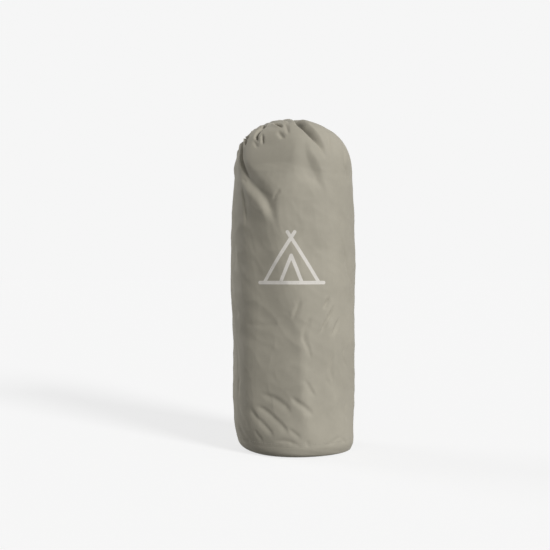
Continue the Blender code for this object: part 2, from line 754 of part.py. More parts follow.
def build_poles():
    """Two main poles and the brow pole, folded into one six-sided bundle."""
    half = FOLDED_LENGTH / 2
    frame = frame_at("pole_bundle", (0, 0, BUNDLE_MIDDLE))
    meshes = {
        "first": pole_tube("first_section", TIP_HEAD_LENGTH - half, half, insert=True),
        "middle": pole_tube("middle_section", -half, half, insert=True),
        "last": pole_tube("last_section", -half, half - TIP_HEAD_LENGTH, insert=False),
    }
    tip = pole_tip()
    cells = hexagon_cells()
    first, second = MAIN_POLE_SECTIONS, 2 * MAIN_POLE_SECTIONS
    build_pole("main_pole_1", cells[:first], frame, meshes, tip)
    build_pole("main_pole_2", cells[first:second], frame, meshes, tip)
    build_pole("brow_pole", cells[second : second + BROW_POLE_SECTIONS], frame, meshes, tip)


def build_pole_bag():
    """The cloth sleeve round the pole bundle, with its top folded in."""
    levels = (
        (POLE_BAG_RADIUS - POLE_BAG_FOOT, CONTENTS_FLOOR),
        (POLE_BAG_RADIUS, CONTENTS_FLOOR + POLE_BAG_FOOT),
        (POLE_BAG_RADIUS, POLE_BAG_TOP - POLE_BAG_BROW),
        (POLE_BAG_RADIUS - POLE_BAG_BROW, POLE_BAG_TOP),
        (POLE_BAG_RADIUS * POLE_BAG_FOLD_SHARE, POLE_BAG_TOP + POLE_BAG_FOLD_RISE),
    )
    loops = [
        [Vector((radius * math.cos(a), radius * math.sin(a), z)) for a in ring_angles(24)]
        for radius, z in levels
    ]
    bag = skin("pole_bag", loops, cap_last=False)
    return thicken(place("pole_bag", bag, "bag_cloth"), BAG_CLOTH)


# The pegs


def peg_curve(name):
    """A hook-headed peg along X: a point, a long shank and a hook that turns back on itself."""
    shank_end = PEG_LENGTH - PEG_HOOK_RADIUS - PEG_RADIUS
    points = [Vector((0, 0, 0)), Vector((PEG_POINT_LENGTH, 0, 0)), Vector((shank_end, 0, 0))]
    bend_steps = 5
    for step in range(1, bend_steps + 1):
        a = math.pi * step / bend_steps
        points.append(
            Vector((shank_end + PEG_HOOK_RADIUS * math.sin(a), PEG_HOOK_RADIUS * (1 - math.cos(a)), 0))
        )
    points.append(Vector((shank_end - PEG_HOOK_DROP, 2 * PEG_HOOK_RADIUS, 0)))
    tapers = [0.25] + [1.0] * (len(points) - 1)
    return cord_curve(name, points, PEG_RADIUS, 2, tapers=tapers)


def build_peg_bag(frame, length):
    """The small drawn-up bag of the pegs, lying across the top of the roll."""
    corner = PEG_RADIUS + PEG_GAP + BAG_CLOTH
    outline = rounded_outline(PEG_BAG_HALF_WIDTH, PEG_BAG_HEIGHT / 2, corner, 3)
    half = length / 2
    sections = (
        (-half, 0.55),
        (-half + PEG_BAG_END / 2, 0.90),
        (-half + PEG_BAG_END, 1.0),
        (half - PEG_BAG_END, 1.0),
        (half - PEG_BAG_END / 2, 0.85),
        (half, 0.35),
    )
    loops = [[Vector((x, y * share, z * share)) for y, z in outline] for x, share in sections]
    bag = skin("peg_bag", loops, cap_last=False)
    return thicken(place("peg_bag", bag, "bag_cloth", frame), BAG_CLOTH)


def build_pegs():
    """Two stacks of pegs back to back, the repair sleeve beside their shanks, and the bag."""
    frame = frame_at("peg_set", PEG_BAG_POSITION)
    inside = PEG_LENGTH + 2 * PEG_GAP
    build_peg_bag(frame, inside + 2 * (PEG_BAG_END + BAG_CLOTH))
    start = -PEG_LENGTH / 2
    lowest = -(PEGS_PER_STACK - 1) / 2 * PEG_PITCH
    peg = peg_curve("peg")
    for stack, side in enumerate((1, -1)):
        for layer in range(PEGS_PER_STACK):
            turn = 0.0 if side > 0 else math.pi
            location = (start, side * PEG_OFFSET, lowest + layer * PEG_PITCH)
            number = stack * PEGS_PER_STACK + layer + 1
            place(f"peg_{number}", peg, "peg_metal", frame, location, (turn, 0, 0))
    profile = (
        (SLEEVE_RADIUS, 0.0),
        (SLEEVE_RADIUS, SLEEVE_LENGTH),
        (SLEEVE_BORE, SLEEVE_LENGTH),
        (SLEEVE_BORE, 0.0),
    )
    resting = -PEG_BAG_HEIGHT / 2 + BAG_CLOTH + SEAT_GAP + SLEEVE_RADIUS
    place(
        "pole_repair_sleeve",
        turned("pole_repair_sleeve", profile, SLEEVE_SIDES),
        "peg_metal",
        frame,
        (start + PEG_POINT_LENGTH, SLEEVE_OFFSET, resting),
        (0, math.pi / 2, 0),
    )


def build_sack():
    """The sack and its closure."""
    build_side_panel()
    build_base_panel()
    build_mouth_casing()
    build_drawcord()
    build_drawcord_knot()
    build_cord_lock()


def main():
    """Build every piece."""
    clear_scene()
    build_sack()
    build_roll()
    build_poles()
    build_pole_bag()
    build_pegs()


main()
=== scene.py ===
"""The finished look of a packed camping tent: its drawstring sack, the roll inside, poles and pegs.

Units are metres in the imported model's own frame. +Z is up, the sack's front is at -Y and its
right-hand side at +X. Each class stands for one sub-assembly: it holds that sub-assembly's sizes,
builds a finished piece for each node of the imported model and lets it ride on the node's body.
"""

import logging
import math
from collections.abc import Callable, Sequence
from dataclasses import dataclass, field
from enum import Enum

import bmesh
import bpy
import numpy as np
from mathutils import Matrix, Vector


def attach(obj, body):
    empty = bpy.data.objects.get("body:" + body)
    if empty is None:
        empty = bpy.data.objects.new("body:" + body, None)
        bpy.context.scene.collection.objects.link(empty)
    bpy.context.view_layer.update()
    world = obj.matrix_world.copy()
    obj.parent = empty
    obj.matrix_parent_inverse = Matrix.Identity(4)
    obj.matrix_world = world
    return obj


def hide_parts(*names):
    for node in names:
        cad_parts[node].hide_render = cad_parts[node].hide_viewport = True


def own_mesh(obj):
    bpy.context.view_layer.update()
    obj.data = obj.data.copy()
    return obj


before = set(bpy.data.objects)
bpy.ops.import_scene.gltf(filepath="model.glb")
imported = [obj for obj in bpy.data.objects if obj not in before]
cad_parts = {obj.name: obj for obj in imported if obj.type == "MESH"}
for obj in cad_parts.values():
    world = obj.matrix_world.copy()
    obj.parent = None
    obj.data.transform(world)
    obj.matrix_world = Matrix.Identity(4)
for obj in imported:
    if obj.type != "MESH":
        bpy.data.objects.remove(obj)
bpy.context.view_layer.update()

LOG = logging.getLogger("packed_tent")
FULL_TURN = 2 * math.pi
QUARTER_TURN = math.pi / 2
SACK_BODY = "sack"
PLUNGER_BODY = "plunger"
UV_NAME = "cloth_metres"
# The point attribute by which the cloth materials paint shade into folds and hollows.
HOLLOW_NAME = "fold_depth"

Array = np.ndarray
Mesh = bpy.types.Mesh
Material = bpy.types.Material
Node = bpy.types.Node
Socket = bpy.types.NodeSocket
Pair = tuple[float, float]
Triple = tuple[float, float, float]
Reach = Callable[[Array, Array], Array]


# Small curve and surface mathematics


def unit(vectors: Array) -> Array:
    """The same vectors at length one."""
    return vectors / np.maximum(np.linalg.norm(vectors, axis=-1, keepdims=True), 1e-12)


def ease(share: Array) -> Array:
    """Nought below 0, one above 1 and a smooth rise between."""
    held = np.clip(share, 0.0, 1.0)
    return held * held * (3.0 - 2.0 * held)


def bell(offset: Array, width: float) -> Array:
    """One at no offset, and smoothly down to nought within a few widths."""
    return np.exp(-((offset / width) ** 2))


def turn_angles(count: int) -> Array:
    """That many angles, evenly round a full turn."""
    return FULL_TURN * np.arange(count) / count


def degrees_past(angle: Array, middle: Array) -> Array:
    """How many degrees each angle lies past a middle one given in degrees, from -180 to 180."""
    return np.degrees(np.angle(np.exp(1j * (angle - np.radians(middle)))))


def ring_points(radius: Array, angle: Array, height: Array) -> Array:
    """Points at a radius from the Z axis, an angle round it and a height."""
    return np.stack(np.broadcast_arrays(radius * np.cos(angle), radius * np.sin(angle), height), axis=-1)


def running_sum(steps: Array) -> Array:
    """The sum of the steps up to each place, from nought."""
    return np.concatenate([[0.0], np.cumsum(steps)])


def lengths_along(line: Array) -> Array:
    """How far along a line each of its points lies."""
    return running_sum(np.linalg.norm(np.diff(line, axis=0), axis=1))


def curve_through(knots: Sequence[float], values: Sequence[float], at: Array) -> Array:
    """Read a smooth curve through known points.

    Args:
        knots: The places where the curve is known, in rising order.
        values: Its values there.
        at: Where to read it.

    Returns:
        The curve's values at those places.
    """
    xs, ys = np.asarray(knots, float), np.asarray(values, float)
    slopes = np.gradient(ys, xs)
    left = np.clip(np.searchsorted(xs, at) - 1, 0, len(xs) - 2)
    span = xs[left + 1] - xs[left]
    t = np.clip((at - xs[left]) / span, 0.0, 1.0)
    rise = ys[left] * (2 * t**3 - 3 * t**2 + 1) + ys[left + 1] * (3 * t**2 - 2 * t**3)
    return rise + span * (slopes[left] * (t**3 - 2 * t**2 + t) + slopes[left + 1] * (t**3 - t**2))


def evenly_spaced(line: Array, spacing: float) -> Array:
    """The same line with its points about the given distance apart.

    Args:
        line: The line's points, one to a row.
        spacing: How far apart they are to be.

    Returns:
        The points.
    """
    lengths = lengths_along(line)
    places = np.linspace(0.0, lengths[-1], max(2, int(round(lengths[-1] / spacing)) + 1))
    return np.stack([np.interp(places, lengths, line[:, axis]) for axis in range(3)], axis=1)


def smooth_line(knots: Array, spacing: float) -> Array:
    """Evenly spaced points on the smooth line through some knots.

    Args:
        knots: The points that the line goes through, one to a row.
        spacing: About how far apart the line's points are to be.

    Returns:
        The line's points, from the first knot to the last.
    """
    ends = np.vstack([2 * knots[0] - knots[1], knots, 2 * knots[-1] - knots[-2]])
    t = (np.arange(8) / 8)[:, None]
    stretches = []
    for before, start, end, after in zip(ends, ends[1:], ends[2:], ends[3:]):
        bend = (2 * before - 5 * start + 4 * end - after) * t**2
        twist = (3 * start - before - 3 * end + after) * t**3
        stretches.append(0.5 * (2 * start + (end - before) * t + bend + twist))
    return evenly_spaced(np.vstack([*stretches, knots[-1:]]), spacing)


def wander(turns: Array, rise: Array, around: int, up: int, seed: int, slant: float = 0.0) -> Array:
    """Smooth seeded unevenness on a tube of cloth, between about -1 and 1.

    Args:
        turns: How far round the tube each point is, as a share of the full turn.
        rise: How far up it is, as a share of the height.
        around: How many swells there are in a full turn.
        up: How many there are from bottom to top.
        seed: The seed of the swells' heights.
        slant: How many turns the pattern leans by from bottom to top.

    Returns:
        The unevenness at each point.
    """
    lattice = np.random.default_rng(seed).uniform(-1.0, 1.0, (around, up + 4))
    x = ((turns + slant * rise) % 1.0) * around
    y = np.clip(rise, 0.0, 1.0) * up
    column, row = np.floor(x).astype(int), np.floor(y).astype(int)
    total = np.zeros(np.broadcast(x, y).shape)
    for i, across in enumerate(spread_weights(x - column)):
        for j, along in enumerate(spread_weights(y - row)):
            total = total + across * along * lattice[(column + i) % around, row + j]
    return 1.6 * total


def spread_weights(t: Array) -> tuple[Array, ...]:
    """The four weights that blend neighbouring swells smoothly."""
    second, third = (3 * t**3 - 6 * t**2 + 4) / 6, (-3 * t**3 + 3 * t**2 + 3 * t + 1) / 6
    return (1 - t) ** 3 / 6, second, third, t**3 / 6


def carried_frames(line: Array) -> tuple[Array, Array]:
    """Two directions square to a line at each of its points, carried along it without a twist.

    Args:
        line: The line's points, one to a row.

    Returns:
        The first and the second direction at each point.
    """
    tangents = unit(np.gradient(line, axis=0))
    start = np.array([0.0, 0.0, 1.0]) if abs(tangents[0][2]) < 0.9 else np.array([1.0, 0.0, 0.0])
    sides = [unit(start - tangents[0] * float(start @ tangents[0]))]
    for tangent in tangents[1:]:
        carried = sides[-1] - tangent * float(sides[-1] @ tangent)
        sides.append(carried / np.linalg.norm(carried))
    across = np.array(sides)
    return across, np.cross(tangents, across)


# Meshes


class Weaver:
    """Gathers rings of points and odd faces into one mesh with a UV map in metres."""

    def __init__(self, name: str) -> None:
        """Start an empty mesh of that name.

        Args:
            name: The mesh's name.
        """
        self.name = name
        self.points: list[Array] = []
        self.faces: list[tuple[int, ...]] = []
        self.uvs: list[Pair] = []
        self.hollows: list[Array] = []
        self.count = 0

    def add_points(self, points: Array, hollow: Array | None = None) -> Array:
        """Add points, in any arrangement.

        Args:
            points: The points, whose last axis is x, y, z.
            hollow: How deep in a fold each one lies, from 0 to 1, which the cloth materials turn into painted
                shade.

        Returns:
            Their numbers, arranged as the points are.
        """
        shape = points.shape[:-1]
        amount = int(np.prod(shape))
        numbers = np.arange(self.count, self.count + amount).reshape(shape)
        self.points.append(points.reshape(-1, 3))
        self.hollows.append(np.zeros(amount) if hollow is None else hollow.reshape(-1))
        self.count += amount
        return numbers

    def add_face(self, numbers: Sequence[int], uvs: Sequence[Pair]) -> None:
        """Add one face with its UV places."""
        self.faces.append(tuple(int(number) for number in numbers))
        self.uvs.extend(uvs)

    def join(self, rings: Array, u: Array, v: Array, order: int = 1) -> None:
        """Fill the bands between rings of points with quads.

        Args:
            rings: The points' numbers, one row for each ring.
            u: The UV place across of each column, and of the first one where the ring closes.
            v: The UV place along of each ring.
            order: -1 where the faces look the other way.
        """
        grid, us, vs = rings.tolist(), u.tolist(), v.tolist()
        columns = len(grid[0])
        for low, high, v0, v1 in zip(grid, grid[1:], vs, vs[1:]):
            for i in range(columns):
                j = (i + 1) % columns
                self.faces.append((low[i], low[j], high[j], high[i])[::order])
                self.uvs.extend(((us[i], v0), (us[i + 1], v0), (us[i + 1], v1), (us[i], v1))[::order])

    def fan(
        self, ring: Array, middle: Array | Triple, order: int, u: Array | None = None, v: Pair = (0.0, 0.001)
    ) -> None:
        """Close a ring with triangles that meet at one point.

        Args:
            ring: The ring's numbers.
            middle: The point.
            order: 1, or -1 where the faces look the other way.
            u: The UV place across of each of the ring's points.
            v: The UV places along of the ring and of the point.
        """
        tip = self.add_points(np.array([middle], float))[0]
        for i, number in enumerate(ring):
            pair = (number, ring[(i + 1) % len(ring)])
            here, there = (0.0, 0.001) if u is None else (u[i], u[i + 1])
            self.add_face((*pair[::order], tip), ((here, v[0]), (there, v[0]), (here, v[1])))

    def pouch(
        self,
        skins: Sequence[Array],
        middles: Sequence[Triple],
        u: Array,
        v: Array,
        order: int = 1,
        fan_u: Array | None = None,
        fan_v: Pair = (0.0, 0.001),
    ) -> None:
        """Close two skins into a pouch, with a lip at their last rings and a fan at their first ones.

        Args:
            skins: The numbers of the outer and the inner skin's points, one row for each ring.
            middles: The points at which the two fans meet.
            u: The UV place across of each column.
            v: The UV place along of each ring.
            order: -1 where the faces look the other way.
            fan_u: The UV place across of each of the fans' points.
            fan_v: The UV places along of the fans' rings and of their middles.
        """
        outer, inner = skins
        self.join(outer, u, v, order)
        self.join(inner, u, v, -order)
        self.join(np.stack([outer[-1], inner[-1]]), u, np.array([0.0, 0.001]), order)
        self.fan(outer[0], middles[0], -order, fan_u, fan_v)
        self.fan(inner[0], middles[1], order, fan_u, fan_v)

    def tube(self, line: Array, radius: Reach, sides: int, closed: bool = False) -> None:
        """Add a round tube along a line.

        Args:
            line: The tube's middle line.
            radius: The tube's radius from the angle round it and the length along it.
            sides: How many sides it has.
            closed: Whether its end runs on into its start, turned by as much as its frame comes round.
        """
        along = lengths_along(np.vstack([line, line[:1]]) if closed else line)
        across, aside = carried_frames(np.vstack([line[-1:], line, line[:1]]) if closed else line)
        if closed:
            across, aside = across[1:-1], aside[1:-1]
        angles = turn_angles(sides)
        reach = radius(angles[None, :], along[: len(line), None])
        spokes = across[:, None] * np.cos(angles)[:, None] + aside[:, None] * np.sin(angles)[:, None]
        rings = self.add_points(line[:, None] + spokes * reach[..., None])
        u = FULL_TURN * float(np.mean(reach)) * np.arange(sides + 1) / sides
        self.join(rings, u, along[: len(line)])
        if closed:
            lag = math.atan2(float(across[-1] @ aside[0]), float(across[-1] @ across[0]))
            first = np.roll(rings[0], -int(round(lag / FULL_TURN * sides)))
            self.join(np.stack([rings[-1], first]), u, along[-2:])
            return
        self.fan(rings[0], line[0], -1)
        self.fan(rings[-1], line[-1], 1)

    def finish(self, sharp_degrees: float) -> Mesh:
        """Make the mesh, smooth apart from its real edges.

        Args:
            sharp_degrees: The angle between two faces from which their edge is sharp.

        Returns:
            The mesh.
        """
        mesh = bpy.data.meshes.new(self.name)
        mesh.from_pydata(np.vstack(self.points).tolist(), [], self.faces)
        layer = mesh.uv_layers.new(name=UV_NAME)
        layer.data.foreach_set("uv", np.asarray(self.uvs, np.float32).reshape(-1))
        depth = mesh.attributes.new(HOLLOW_NAME, "FLOAT", "POINT")
        depth.data.foreach_set("value", np.concatenate(self.hollows).astype(np.float32))
        mesh.shade_smooth()
        mesh.set_sharp_from_angle(angle=math.radians(sharp_degrees))
        return mesh


def turned(name: str, profile: Sequence[Pair], sides: int, closed: bool = True) -> Mesh:
    """Spin a profile about the Z axis.

    Args:
        name: The mesh's name.
        profile: Its (radius, height) points. They go up on the outside and down on the inside.
        sides: How many sides the result has.
        closed: Whether the profile's end joins its start. An open one starts and ends on the axis.

    Returns:
        The mesh.
    """
    weaver = Weaver(name)
    points = np.array([*profile, profile[0]] if closed else profile, float)
    lengths = lengths_along(points)
    u = float(points[:, 0].max()) * FULL_TURN * np.arange(sides + 1) / sides
    body = points[:-1] if closed else points[1:-1]
    rings = weaver.add_points(ring_points(body[:, :1], turn_angles(sides), body[:, 1:]))
    if closed:
        weaver.join(np.vstack([rings, rings[:1]]), u, lengths)
    else:
        weaver.join(rings, u, lengths[1:-1])
        weaver.fan(rings[0], (0.0, 0.0, points[0][1]), -1, u)
        weaver.fan(rings[-1], (0.0, 0.0, points[-1][1]), 1, u)
    return weaver.finish(35.0)


def rounded_corner(centre: Pair, radius: float, start: float, steps: int, sweep: float = 90.0) -> list[Pair]:
    """An arc of profile points.

    Args:
        centre: The circle's middle, as (radius, height).
        radius: The circle's radius.
        start: The angle in degrees at which it starts.
        steps: How many steps it takes.
        sweep: How many degrees it turns through.

    Returns:
        The points in order.
    """
    turns = [math.radians(start + sweep * step / steps) for step in range(steps + 1)]
    return [(centre[0] + radius * math.cos(a), centre[1] + radius * math.sin(a)) for a in turns]


def moved(mesh: Mesh, matrix: Matrix) -> Mesh:
    """The mesh after a move or turn that goes into its points.

    Args:
        mesh: The mesh.
        matrix: The move or turn.

    Returns:
        The same mesh.
    """
    mesh.transform(matrix)
    mesh.update()
    return mesh


def placed(name: str, data: bpy.types.ID) -> bpy.types.Object:
    """A new object of that name, in the scene.

    Args:
        name: Its name.
        data: Its mesh, light or camera.

    Returns:
        The object.
    """
    made = bpy.data.objects.new(name, data)
    bpy.context.scene.collection.objects.link(made)
    return made


def plain_mesh(made: bpy.types.Object) -> Mesh:
    """The evaluated result of an object's modifiers, as a mesh of its own."""
    return bpy.data.meshes.new_from_object(made.evaluated_get(bpy.context.evaluated_depsgraph_get()))


def cut_slot(mesh: Mesh, cutter: Mesh) -> Mesh:
    """Cut one closed mesh out of another.

    Args:
        mesh: What is cut.
        cutter: The shape that is taken away.

    Returns:
        The mesh that is left.
    """
    whole, taken = (placed(data.name + "_bench", data) for data in (mesh, cutter))
    boolean = whole.modifiers.new("slot", "BOOLEAN")
    boolean.operation = "DIFFERENCE"
    boolean.solver = "EXACT"
    boolean.object = taken
    result = plain_mesh(whole)
    result.shade_smooth()
    result.set_sharp_from_angle(angle=math.radians(35.0))
    for made in (whole, taken):
        bpy.data.objects.remove(made, do_unlink=True)
    return result


def finished_piece(
    name: str, mesh: Mesh, material: Material, slot: str, *nodes: str, body: str = SACK_BODY
) -> bpy.types.Object:
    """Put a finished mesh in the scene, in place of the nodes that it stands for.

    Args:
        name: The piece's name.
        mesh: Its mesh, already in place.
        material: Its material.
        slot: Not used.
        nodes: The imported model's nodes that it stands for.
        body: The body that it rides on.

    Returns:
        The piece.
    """
    made = placed(name, mesh)
    mesh.materials.clear()
    mesh.materials.append(material)
    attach(made, body)
    if nodes:
        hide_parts(*nodes)
    LOG.info("%s: %d faces on %s", name, len(mesh.polygons), body)
    return made


# Materials


class Bench:
    """A short way to place nodes in a tree and join them."""

    def __init__(self, tree: bpy.types.NodeTree) -> None:
        """Work in that tree."""
        self.tree = tree

    def node(self, kind: str, settings: dict[str, object] | None = None, **sockets: object) -> Node:
        """Add a node.

        Args:
            kind: The node's type.
            settings: Its options.
            sockets: What its inputs get, by name, with _ for a space.

        Returns:
            The node.
        """
        made = self.tree.nodes.new(kind)
        for key, value in (settings or {}).items():
            setattr(made, key, value)
        return self.fill(made, **sockets)

    def fill(self, made: Node, **sockets: object) -> Node:
        """Give a node's inputs, named with _ for a space, their values.

        Args:
            made: The node.
            sockets: What its inputs get, by name.

        Returns:
            The node.
        """
        for key, value in sockets.items():
            self.feed(made.inputs[key.replace("_", " ")], value)
        return made

    def feed(self, socket: Socket, value: object) -> None:
        """Give a socket a number, a colour, another node's output or a node's first output.

        Args:
            socket: The socket.
            value: What it gets.
        """
        source = value.outputs[0] if isinstance(value, Node) else value
        if isinstance(source, Socket):
            self.tree.links.new(source, socket)
        else:
            socket.default_value = source

    def math(self, operation: str, *values: object) -> Socket:
        """One Math node's result.

        Args:
            operation: The node's operation.
            values: What its inputs get, in order.

        Returns:
            The result.
        """
        made = self.node("ShaderNodeMath", {"operation": operation})
        for socket, value in zip(made.inputs, values):
            self.feed(socket, value)
        return made.outputs[0]

    def times(self, first: object, second: object) -> Socket:
        """The product of two values."""
        return self.math("MULTIPLY", first, second)


class ShaderBench(Bench):
    """A bench for one material with a Principled shader."""

    def __init__(self, name: str) -> None:
        """Start the material.

        Args:
            name: The material's name.
        """
        self.material = bpy.data.materials.new(name)
        self.material.use_nodes = True
        super().__init__(self.material.node_tree)

    def between(self, value: object, low: float, high: float, start: float = 0.0, end: float = 1.0) -> Socket:
        """The value carried smoothly from one range to another.

        Args:
            value: The value.
            low: Where the first range starts.
            high: Where it ends.
            start: Where the second range starts.
            end: Where it ends.

        Returns:
            The value in the second range.
        """
        smooth = {"interpolation_type": "SMOOTHSTEP"}
        ranges = {"From_Min": low, "From_Max": high, "To_Min": start, "To_Max": end}
        return self.node("ShaderNodeMapRange", smooth, Value=value, **ranges).outputs["Result"]

    def blend(self, share: object, first: object, second: object) -> Socket:
        """A colour between two colours.

        Args:
            share: How much of the second colour there is.
            first: The first colour.
            second: The second colour.

        Returns:
            The colour.
        """
        made = self.node("ShaderNodeMix", {"data_type": "RGBA"})
        for number, value in ((0, share), (6, first), (7, second)):
            self.feed(made.inputs[number], value)
        return made.outputs[2]

    def shades(self, share: object, colour: Triple, dark: float, light: float) -> Socket:
        """A colour between a darker and a lighter one of its kind."""
        return self.blend(share, scaled(colour, dark), scaled(colour, light))

    def noise(self, vector: object, scale: float, detail: float = 3.0, rough: float = 0.5) -> Socket:
        """A noise pattern's value."""
        sizes = {"Scale": scale, "Detail": detail, "Roughness": rough}
        return self.node("ShaderNodeTexNoise", Vector=vector, **sizes).outputs[0]

    def bump(self, height: object, distance: float, **below: Socket) -> Socket:
        """A bump's normal, on top of another bump's where one is given as Normal."""
        return self.node("ShaderNodeBump", Height=height, Distance=distance, Strength=1.0, **below).outputs[0]

    def object_place(self) -> Socket:
        """The point's place on the object."""
        return self.node("ShaderNodeTexCoord").outputs["Object"]

    def cloth_place(self) -> tuple[Socket, Socket, Socket]:
        """The point's place on the cloth in metres: the vector, across and along.

        Returns:
            The three sockets.
        """
        place = self.node("ShaderNodeUVMap", {"uv_map": UV_NAME}).outputs["UV"]
        split = self.node("ShaderNodeSeparateXYZ", Vector=place)
        return place, split.outputs["X"], split.outputs["Y"]

    def hollow(self) -> Socket:
        """How deep in a fold the point lies, which darkens the cloth as painted shade."""
        return self.node("ShaderNodeAttribute", {"attribute_name": HOLLOW_NAME}).outputs["Fac"]

    def finish(
        self, plain: Triple, colour: Socket, rough: Socket, normal: Socket, **levels: float
    ) -> Material:
        """Feed the shader.

        Args:
            plain: The material's plain colour.
            colour: The shader's colour.
            rough: Its roughness.
            normal: Its normal.
            levels: Its other inputs, by name, with _ for a space.

        Returns:
            The material.
        """
        shader = self.tree.nodes["Principled BSDF"]
        self.fill(shader, Base_Color=colour, Roughness=rough, Normal=normal, **levels)
        self.material.diffuse_color = (*plain, 1.0)
        return self.material


def scaled(colour: Triple, share: float) -> tuple[float, float, float, float]:
    """A colour made lighter or darker, with its alpha."""
    return (colour[0] * share, colour[1] * share, colour[2] * share, 1.0)


@dataclass(frozen=True)
class PrintMark:
    """A plain pictogram of a tent, printed on the front of the sack."""

    across: float
    along: float
    colour: Triple = (0.74, 0.71, 0.66)
    half_line: float = 0.0034
    soft_edge: float = 0.0004
    strokes: tuple[tuple[Pair, Pair], ...] = (
        ((0.0560, -0.0420), (0.0000, 0.0440)),
        ((0.0000, 0.0440), (0.0070, 0.0548)),
        ((0.0210, -0.0420), (0.0000, 0.0100)),
        ((0.0660, -0.0420), (0.0000, -0.0420)),
    )

    def mask(self, bench: ShaderBench, across: Socket, along: Socket) -> Socket:
        """Where the print covers the cloth.

        Args:
            bench: The material's bench.
            across: The place across the cloth.
            along: The place along it.

        Returns:
            A socket that is 1 on the print and 0 off it.
        """
        x = bench.math("ABSOLUTE", bench.math("SUBTRACT", across, self.across))
        y = bench.math("SUBTRACT", along, self.along)
        nearest: object = 1.0
        for start, end in self.strokes:
            nearest = bench.math("MINIMUM", nearest, self.distance(bench, (x, y), start, end))
        low, high = self.half_line - self.soft_edge, self.half_line + self.soft_edge
        return bench.between(nearest, low, high, 1.0, 0.0)

    @staticmethod
    def distance(bench: ShaderBench, place: tuple[Socket, Socket], start: Pair, end: Pair) -> Socket:
        """How far a place is from one stroke's middle line.

        Args:
            bench: The material's bench.
            place: The place across and along the cloth.
            start: Where the stroke starts.
            end: Where it ends.

        Returns:
            The distance.
        """
        run = (end[0] - start[0], end[1] - start[1])
        length = run[0] * run[0] + run[1] * run[1]
        away = [bench.math("SUBTRACT", here, corner) for here, corner in zip(place, start)]
        reach = bench.math("ADD", *(bench.times(part, step / length) for part, step in zip(away, run)))
        share = bench.math("MAXIMUM", bench.math("MINIMUM", reach, 1.0), 0.0)
        offs = [bench.math("SUBTRACT", part, bench.times(share, step)) for part, step in zip(away, run)]
        return bench.math("SQRT", bench.math("ADD", *(bench.times(off, off) for off in offs)))


@dataclass(frozen=True)
class ClothFinish:
    """A woven cloth: its colour, its thread and how it has creased."""

    name: str
    colour: Triple
    roughness: float
    thread_pitch: float = 0.00050
    thread_height: float = 0.00003
    mottle: float = 0.07
    crease_height: float = 0.0005
    crease_scale: float = 30.0
    dye_scale: float = 9.0
    fibre_scale: float = 900.0
    rub_scale: float = 22.0
    sheen: float = 0.05
    specular: float = 0.18
    mark: PrintMark | None = None

    def material(self) -> Material:
        """The cloth's material: weave, creases, uneven dye, painted shade between its threads and painted
        shade in its folds.

        Returns:
            The material.
        """
        bench = ShaderBench(self.name)
        cloth = bench.cloth_place()
        place = bench.object_place()
        height = self.weave(bench, cloth[1], cloth[2])
        dye = bench.between(bench.noise(place, self.dye_scale, 4.0, 0.6), 0.3, 0.7)
        colour = bench.shades(dye, self.colour, 1 - self.mottle, 1 + self.mottle)
        fibre = bench.between(bench.noise(cloth[0], self.fibre_scale, 2.0, 0.6), 0.35, 0.75, 0.0, 0.10)
        # Painted shade: the weave's low places between the threads are darkened.
        gaps = bench.between(height, 0.0, 0.6, 0.22, 0.0)
        # Painted shade: the cloth is darkened in the folds' hollows, as deep as the fold_depth attribute
        # says.
        shade = bench.between(bench.hollow(), 0.05, 1.0, 0.0, 0.85)
        for share, tint in ((fibre, 1.25), (gaps, 0.60), (shade, 0.50)):
            colour = bench.blend(share, colour, scaled(self.colour, tint))
        rub = bench.noise(place, self.rub_scale, 4.0)
        rough = bench.between(rub, 0.3, 0.7, self.roughness - 0.05, self.roughness + 0.07)
        if self.mark:
            colour, rough = self.printed(bench, colour, rough, cloth, height)
        kind = {"noise_type": "RIDGED_MULTIFRACTAL", "normalize": True}
        sizes = {"Scale": self.crease_scale, "Detail": 4.0, "Roughness": 0.55, "Distortion": 0.6}
        creases = bench.node("ShaderNodeTexNoise", kind, Vector=place, **sizes)
        normal = bench.bump(creases, self.crease_height, Normal=bench.bump(height, self.thread_height))
        levels = {"Sheen_Weight": self.sheen, "Sheen_Roughness": 0.45, "Specular_IOR_Level": self.specular}
        return bench.finish(self.colour, colour, rough, normal, **levels)

    def weave(self, bench: ShaderBench, across: Socket, along: Socket) -> Socket:
        """The height of a plain weave: warp over weft and weft over warp by turns.

        Args:
            bench: The material's bench.
            across: The place across the cloth.
            along: The place along it.

        Returns:
            The height, from 0 to 1.
        """
        turn = math.pi / self.thread_pitch
        warp = bench.math("SINE", bench.times(across, turn))
        weft = bench.math("SINE", bench.times(along, turn))
        over = bench.between(bench.times(warp, weft), -0.25, 0.25, 0.55, 1.0)
        under = bench.math("SUBTRACT", 1.55, over)
        upper = bench.times(bench.math("ABSOLUTE", warp), over)
        lower = bench.times(bench.math("ABSOLUTE", weft), under)
        return bench.math("MAXIMUM", upper, lower)

    def printed(
        self, bench: ShaderBench, colour: Socket, rough: Socket, cloth: Sequence[Socket], height: Socket
    ) -> tuple[Socket, Socket]:
        """Lay the print's ink over the cloth, thin on the high threads and lost in fine cracks.

        Args:
            bench: The material's bench.
            colour: The cloth's colour.
            rough: The cloth's roughness.
            cloth: The place on the cloth: the vector, across and along.
            height: The weave's height.

        Returns:
            The colour and the roughness with the ink on them.
        """
        mask = self.mark.mask(bench, cloth[1], cloth[2])
        cracks = bench.between(bench.noise(cloth[0], 240.0, 5.0, 0.7), 0.30, 0.42, 0.45, 1.0)
        worn = bench.between(height, 0.75, 1.0, 1.0, 0.86)
        cover = bench.times(bench.times(mask, cracks), worn)
        blotch = bench.noise(cloth[0], 60.0)
        ink = bench.shades(blotch, self.mark.colour, 0.95, 1.04)
        return bench.blend(cover, colour, ink), bench.math("ADD", rough, bench.times(mask, 0.10))


